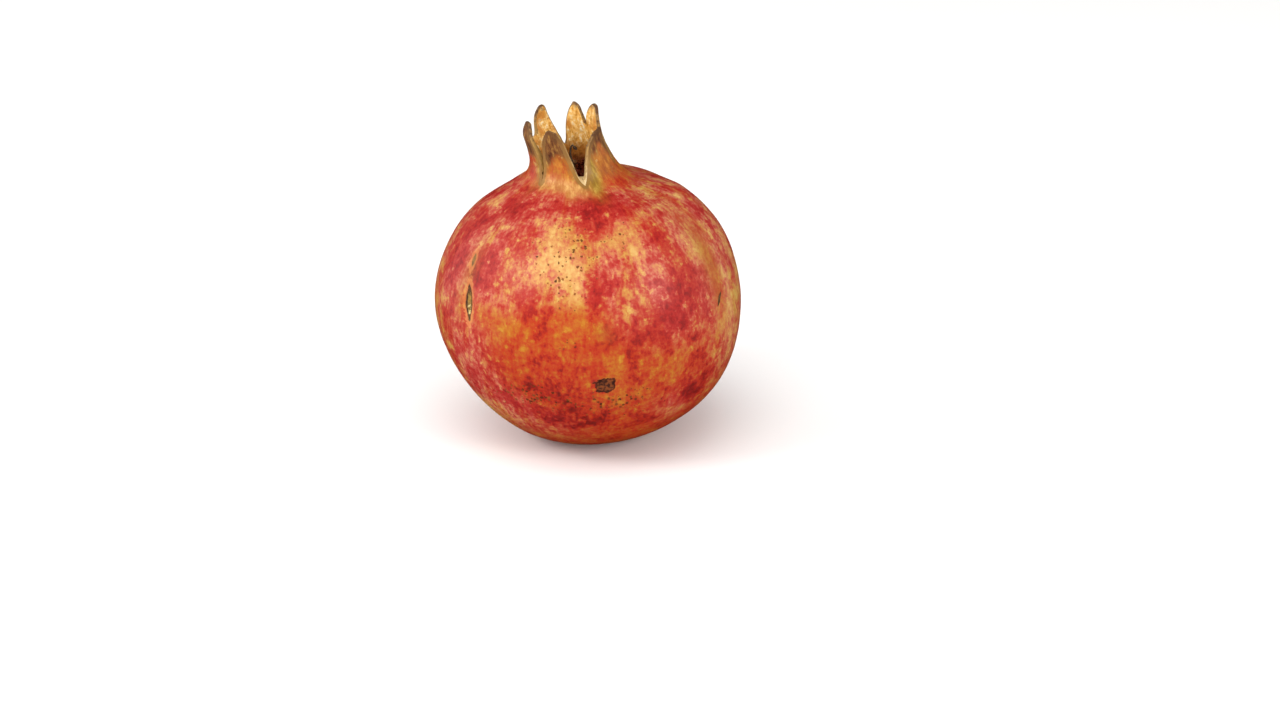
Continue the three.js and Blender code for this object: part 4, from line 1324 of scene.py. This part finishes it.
def scar_layers(tree, coords, grain, fibre_tone):
    """The scars' colours, and where they are dry crust: those at full strength are matt and sunken.

    A mark has a half width, a half length, corners, raggedness, a strength and its tones."""
    speckle = add(tree, "Math", {0: grain, 1: 2.5, 2: 0.5}, operation="MULTIPLY_ADD")
    height = add(tree, "SeparateXYZ", {0: coords}).outputs["Z"]
    down = {"Value": height, "From Min": SLIT_TOP_Z * MM, "From Max": SLIT_FOOT_Z * MM}
    fall = add(tree, "MapRange", down)
    along_slit = add(tree, "Math", {0: grain, 1: 0.9, 2: fall}, operation="MULTIPLY_ADD")
    halo = ((0.2, "#c87c36"), (0.8, "#dc9a54"))
    crust = (
        (0.0, "#6e3c10"),
        (0.3, "#4c2c0e"),
        (0.45, "#94702c"),
        (0.62, "#6a4c18"),
        (0.76, "#c8b070"),
        (0.92, "#5a4218"),
    )
    layers = []
    crusted = 0.0
    for name, width, length, corners, ragged, strength, along, stops in (
        ("healed_slit", 2.6, 7.0, 1.5, 1.2, 0.4, fibre_tone, halo),
        ("healed_slit", 1.55, 5.0, 1.4, 0.4, 1.0, speckle, ((0.2, "#2a1206"), (0.8, "#4e2c0e"))),
        ("healed_slit", 0.9, 4.3, 1.4, 0.6, 1.0, along_slit, crust),
        ("rub_mark", 2.85, 2.25, 3.5, 1.0, 1.0, speckle, ((0.2, "#2c0a02"), (0.8, "#541a04"))),
        ("rub_mark", 2.3, 1.7, 3.5, 1.4, 0.9, speckle, ((0.3, "#3c1404"), (0.7, "#7a3a0e"))),
        ("nick_left", 1.6, 3.6, 1.5, 1.0, 0.35, fibre_tone, halo),
        ("nick_left", 0.75, 1.7, 1.6, 0.4, 0.9, speckle, ((0.2, "#60401a"), (0.8, "#86642a"))),
        ("nick_right", 0.6, 2.2, 1.6, 0.5, 1.0, speckle, ((0.2, "#3e240a"), (0.8, "#624218"))),
    ):
        mask = scar_mask(tree, coords, SCARS[name], width, length, corners, ragged)
        amount = add(tree, "Math", {0: mask, 1: strength}, operation="MULTIPLY")
        layers.append((amount, add(tree, "ValToRGB", {0: along}, stops=stops)))
        if strength == 1:
            crusted = add(tree, "Math", {0: amount, 1: crusted}, operation="MAXIMUM")
    return layers, crusted


def rind_material():
    """Fresh pomegranate rind: waxy, leathery skin, red cover mottled over a golden ground.

    It gives the eye ragged red clouds and streaks, golden flecks, dark corky specks, healed scars,
    the dry brown lobes of the calyx and a broad, soft gloss."""
    material, tree, surface = new_material(
        "pomegranate_rind_waxed",
        IOR=1.45,
        Specular_IOR_Level=0.5,
        Specular_Tint=linear("#ffe9dc"),
    )
    coords = add(tree, "TexCoord").outputs["Object"]
    read = {
        name: add(tree, "Attribute", attribute_name=name).outputs["Fac"] for name in RIND_FIELDS
    }
    meridian = add(tree, "Attribute", attribute_name="meridian").outputs["Vector"]
    mottling = rind_noises(tree, coords, meridian)
    fibres, grain = mottling["fibres"], mottling["grain"]
    fibre_tone = add(tree, "Math", {0: fibres, 1: 2.0, 2: 0.5}, operation="MULTIPLY_ADD")

    # The layers, each over the one before: cover, calyx, worn lobes, specks and scars.
    cover = red_cover(tree, read["blush"], mottling)
    skin, layers = cover_layers(tree, read["warmth"], mottling, cover)
    layers += calyx_layers(tree, read, mottling, fibre_tone)
    worn = worn_layers(tree, read, fibres, fibre_tone)
    specks = speck_layer(tree, coords, read["specks"])
    scars, crusted = scar_layers(tree, coords, grain, fibre_tone)
    for amount, tone in (*layers, *worn.values(), specks, *scars):
        mix = {"Factor": amount, "A": skin, "B": tone}
        skin = add(tree, "Mix", mix, data_type="RGBA")

    # A soft gloss that is duller on crust and dry lobes, and pimples with pores of 1 mm.
    dry_share, _ = worn["dry"]
    matt = add(tree, "Math", {0: crusted, 1: dry_share}, operation="MAXIMUM")
    waxed = add(tree, "Math", {0: grain, 1: 0.25, 2: 0.4}, operation="MULTIPLY_ADD")
    roughness = add(tree, "Math", {0: matt, 1: 0.25, 2: waxed}, operation="MULTIPLY_ADD")
    pores = add(tree, "TexVoronoi", {"Vector": coords, "Scale": per(1.0)}, feature="SMOOTH_F1")
    relief = mottling["pimples"]
    for shape, share in ((pores.outputs["Distance"], 0.25), (crusted, -0.5)):
        relief = add(tree, "Math", {0: shape, 1: share, 2: relief}, operation="MULTIPLY_ADD")
    bump = add(tree, "Bump", {"Strength": 0.35, "Distance": 0.35 * MM, "Height": relief})
    joined_to(tree, surface, Base_Color=skin, Roughness=roughness, Normal=bump)
    return material


def lip_material():
    """The torn edge of the calyx: dry brown cork, darkest at the tips, cream in the front slit."""
    material, tree, surface = new_material("calyx_edge_corky", Roughness=0.7, IOR=1.45)
    coords = add(tree, "TexCoord").outputs["Object"]
    cream = add(tree, "Attribute", attribute_name="cream").outputs["Fac"]
    tipward = add(tree, "Attribute", attribute_name="tipward").outputs["Fac"]
    mottle = add(tree, "TexNoise", {"Vector": coords, "Scale": per(0.9), "Detail": 4.0})
    up = add(tree, "Math", {0: mottle, 1: 1.1, 2: -0.55}, operation="MULTIPLY_ADD")
    place = add(tree, "Math", {0: tipward, 1: up}, operation="ADD", use_clamp=True)
    brown_stops = (
        (0.0, "#775222"), (0.3, "#8a642c"), (0.6, "#a07a3c"), (0.85, "#7c5a30"), (1.0, "#54341a")
    )
    brown = add(tree, "ValToRGB", {0: place}, stops=brown_stops)
    pale_stops = ((0.0, "#ccb080"), (0.25, "#b39462"), (0.6, "#967346"), (1.0, "#6e482a"))
    pale = add(tree, "ValToRGB", {0: place}, stops=pale_stops)
    colour = add(tree, "Mix", {"Factor": cream, "A": brown, "B": pale}, data_type="RGBA")
    bump = add(tree, "Bump", {"Strength": 0.5, "Distance": 0.2 * MM, "Height": mottle})
    joined_to(tree, surface, Base_Color=colour, Normal=bump)
    return material


def lining_material():
    """The inner face of the calyx: moist, golden and crinkled, with small bright glints, partly from
    its gloss and partly painted highlight.

    It is brown at the tips, and painted shade darkens it to maroon at the bottom of the cup."""
    material, tree, surface = new_material(
        "calyx_lining_golden", IOR=1.45, Coat_Weight=0.5, Coat_Roughness=0.12
    )
    coords = add(tree, "TexCoord").outputs["Object"]
    height = add(tree, "SeparateXYZ", {0: coords}).outputs["Z"]
    tipward = add(tree, "Attribute", attribute_name="tipward").outputs["Fac"]
    meridian = add(tree, "Attribute", attribute_name="meridian").outputs["Vector"]
    drawn_out = add(tree, "VectorMath", {0: meridian, 1: (0.3, 0.3, 0.3)}, operation="MULTIPLY")
    inputs = {"Scale": per(1.0), "Detail": 4.0, "Roughness": 0.65}
    fibres = add(tree, "TexNoise", {"Vector": drawn_out, **inputs})
    lumps = add(tree, "TexNoise", {"Vector": coords, **inputs})
    broad = add(tree, "TexNoise", {"Vector": coords, "Scale": per(4), "Detail": 1.0})

    # Golds follow the creases, the palest a painted glint; painted shade below and brown at the tips
    # take over, with ragged edges.
    ragged_height = add(tree, "Math", {0: lumps, 1: 4 * MM, 2: height}, operation="MULTIPLY_ADD")
    up = add(tree, "Math", {0: lumps, 1: -0.5, 2: 0.25}, operation="MULTIPLY_ADD")
    from_tip = add(tree, "Math", {0: up, 1: tipward}, operation="SUBTRACT")
    # The palest gold stop is a painted glint.
    gold_and_glint_stops = ((0.36, "#c07c28"), (0.46, "#e6aa4c"), (0.55, "#f8ca78"), (0.66, "#fff4d0"))
    creased = add(tree, "Math", {0: fibres, 1: 0.6, 2: 0.2}, operation="MULTIPLY_ADD")
    lumpy = add(tree, "Math", {0: lumps, 1: 0.6, 2: creased}, operation="MULTIPLY_ADD")
    wrinkled = add(tree, "Math", {0: lumpy, 1: 0.3}, operation="SUBTRACT")
    skin = add(tree, "ValToRGB", {0: wrinkled}, stops=gold_and_glint_stops)
    for value, start, full, colour in (
        (broad, 0.45, 0.3, "#d8913e"),
        # Painted shade: amber, brown and maroon darken the lining down into the cup.
        (ragged_height, 89.2 * MM, 85.7 * MM, "#b8752a"),
        (ragged_height, 85.7 * MM, 82.2 * MM, "#7a3e14"),
        (ragged_height, 82.4 * MM, 78.6 * MM, "#701608"),
        (from_tip, -0.88, -1.02, "#9a7038"),
    ):
        fade = {"Value": value, "From Min": start, "From Max": full}
        amount = add(tree, "MapRange", fade, interpolation_type="SMOOTHSTEP")
        mix = {"Factor": amount, "A": skin, "B": linear(colour)}
        skin = add(tree, "Mix", mix, data_type="RGBA")
    roughness = add(tree, "Math", {0: lumps, 1: 0.4, 2: 0.2}, operation="MULTIPLY_ADD")
    relief = add(tree, "Math", {0: fibres, 1: 0.6, 2: lumps}, operation="MULTIPLY_ADD")
    bump = add(tree, "Bump", {"Strength": 0.9, "Distance": 0.6 * MM, "Height": relief})
    joined_to(tree, surface, Base_Color=skin, Roughness=roughness, Normal=bump)
    return material


def dried_material(name, dark, light, size):
    """Withered plant fibre: dry and matt, darker in its folds."""
    material, tree, surface = new_material(name, Roughness=0.85, IOR=1.4)
    coords = add(tree, "TexCoord").outputs["Object"]
    inputs = {"Vector": coords, "Scale": per(size), "Detail": 4.0, "Roughness": 0.6}
    mottle = add(tree, "TexNoise", inputs)
    colour = add(tree, "ValToRGB", {0: mottle}, stops=((0.32, dark), (0.68, light)))
    bump = add(tree, "Bump", {"Strength": 0.6, "Distance": 0.15 * MM, "Height": mottle})
    joined_to(tree, surface, Base_Color=colour, Normal=bump)
    return material


def stamen_material():
    """Dried filaments and anthers deep in the cup: withered dark brown, deepened to maroon as
    painted shade like the cup's floor round them.
    """
    return dried_material("dried_filament_maroon", "#3c0d05", "#6e2a12", 0.7)


def hooked_stamen_material():
    """The stamen that stands up out of the cup: withered and nearly black."""
    return dried_material("dried_filament_black", "#1d140c", "#4a3622", 0.7)


def style_material():
    """The dried style: a brown, furrowed stalk."""
    return dried_material("dried_style_fibre", "#3c2210", "#7d5530", 0.8)


def bark_material():
    """The bark of the fruit's stem: thin, grey-brown and finely cracked."""
    return dried_material("stem_bark_grey", "#4a3826", "#8b7455", 0.6)


def cut_stem_material():
    """The cut end of the stem: dry, pale wood round a darker pith."""
    material, tree, surface = new_material("stem_wood_cut", Roughness=0.8, IOR=1.4)
    coords = add(tree, "TexCoord").outputs["Object"]
    flat = add(tree, "VectorMath", {0: coords, 1: (1, 1, 0)}, operation="MULTIPLY")
    from_pith = add(tree, "VectorMath", {0: flat}, operation="LENGTH").outputs["Value"]
    rays = add(tree, "TexNoise", {"Vector": coords, "Scale": per(0.3), "Detail": 3.0})
    ring = add(tree, "Math", {0: rays, 1: 0.3 * MM, 2: from_pith}, operation="MULTIPLY_ADD")
    share = add(tree, "MapRange", {"Value": ring, "From Max": STUB_RADIUS * MM})
    wood_stops = ((0.12, "#6b4a2c"), (0.28, "#c6a878"), (0.72, "#b08d5c"), (0.95, "#5e4429"))
    colour = add(tree, "ValToRGB", {0: share}, stops=wood_stops)
    joined_to(tree, surface, Base_Color=colour)
    return material


# ---- Stage: floor, lights and camera ----

FLOOR_SIZE = 6000
BRIGHT_SIDE = (-0.75, -0.65, 0)  # the side of the white room that is lit most
DIMMEST_WALL = 0.5
BRIGHTEST_WALL = 1.0
FRUIT_MIDDLE = (0, 0, 40.3)
CAMERA_DISTANCE = 750
CAMERA_ELEVATION = 20
LENS = 71.9
SENSOR = 36
PICTURE_WIDTH = 1280
PICTURE_HEIGHT = 720
MIDDLE_IN_PICTURE = (588, 299)  # pixels from the top left, for the point FRUIT_MIDDLE


def direction(azimuth, elevation):
    """The unit vector towards an azimuth and an elevation."""
    flat = math.cos(math.radians(elevation))
    turn = math.radians(azimuth)
    return Vector((flat * math.cos(turn), flat * math.sin(turn), math.sin(math.radians(elevation))))


def make_floor():
    """A sheet of matt white board."""
    bpy.ops.object.select_all(action="DESELECT")
    bpy.ops.mesh.primitive_plane_add(size=FLOOR_SIZE * MM)
    floor = bpy.context.active_object
    floor.name = "floor"
    material, tree, surface = new_material("white_board_matt", Roughness=0.8, IOR=1.4)
    coords = add(tree, "TexCoord").outputs["Object"]
    tone = add(tree, "TexNoise", {"Vector": coords, "Scale": per(400), "Detail": 1.0})
    colour = add(tree, "ValToRGB", {0: tone}, stops=((0.0, "#f2f1ef"), (1.0, "#f6f5f4")))
    joined_to(tree, surface, Base_Color=colour)
    floor.data.materials.append(material)
    floor.visible_glossy = False


def softbox(name, azimuth, elevation, distance, size, power, mirrored=True):
    """A square soft light that faces the fruit, in watts; a mirrored one shows as a highlight."""
    light = bpy.data.lights.new(name, "AREA")
    light.shape = "SQUARE"
    light.size = size * MM
    light.energy = power
    lamp = bpy.data.objects.new(name, light)
    bpy.context.collection.objects.link(lamp)
    towards = direction(azimuth, elevation)
    lamp.location = (Vector(FRUIT_MIDDLE) + towards * distance) * MM
    lamp.rotation_euler = towards.to_track_quat("Z", "Y").to_euler()
    lamp.visible_camera = False
    lamp.visible_glossy = mirrored


def make_lights():
    """Two softboxes and two bright walls that the skin mirrors, two fills, and a white room."""
    wall = {"elevation": 12, "distance": 1500, "size": 1500}
    above = {"elevation": 66, "distance": 1600, "size": 1200, "mirrored": False}
    low = {"elevation": 12, "distance": 1000, "size": 400, "mirrored": False}
    softbox("softbox_left", azimuth=204, elevation=34, distance=1100, size=340, power=3.8)
    softbox("softbox_right", azimuth=-41, elevation=25, distance=1200, size=400, power=4.4)
    softbox("white_wall_left", azimuth=165, power=6.5, **wall)
    softbox("white_wall_right", azimuth=12, power=4.0, **wall)
    softbox("softbox_above", azimuth=-100, power=9.8, **above)
    softbox("fill_low_front", azimuth=255, power=2.2, **low)
    world = bpy.data.worlds.new("white_studio")
    world.use_nodes = True
    tree = world.node_tree
    towards = add(tree, "TexCoord").outputs["Generated"]
    side = add(tree, "VectorMath", {0: towards, 1: BRIGHT_SIDE}, operation="DOT_PRODUCT")
    turned = {"Value": side.outputs["Value"], "From Min": -1.0, "From Max": 1.0}
    strength = add(tree, "MapRange", {**turned, "To Min": DIMMEST_WALL, "To Max": BRIGHTEST_WALL})
    sky = tree.nodes["Background"]
    sky.inputs["Color"].default_value = linear("#ffffff")
    joined_to(tree, sky, Strength=strength)
    world.cycles_visibility.glossy = False
    bpy.context.scene.world = world
    bpy.context.scene.view_settings.view_transform = "Standard"


def make_camera():
    """A long lens in front and a little above, with the fruit left of and above the middle."""
    towards = direction(FRONT_AZIMUTH, CAMERA_ELEVATION)
    middle = Vector(FRUIT_MIDDLE)
    right = Vector((1, 0, 0))
    up = towards.cross(right)
    pixels = PICTURE_WIDTH * LENS / SENSOR / CAMERA_DISTANCE
    aside = (MIDDLE_IN_PICTURE[0] - PICTURE_WIDTH / 2) / pixels
    above = (PICTURE_HEIGHT / 2 - MIDDLE_IN_PICTURE[1]) / pixels
    place = middle + towards * CAMERA_DISTANCE
    aim = middle - right * aside - up * above
    data = bpy.data.cameras.new("camera")
    data.lens = LENS
    data.sensor_width = SENSOR
    camera = bpy.data.objects.new("camera", data)
    bpy.context.collection.objects.link(camera)
    camera.location = place * MM
    camera.rotation_euler = (aim - place).to_track_quat("-Z", "Y").to_euler()
    bpy.context.scene.camera = camera


make_camera()
make_fruit()
make_stamens()
make_hooked_stamen()
make_style()
make_stub()
make_floor()
make_lights()
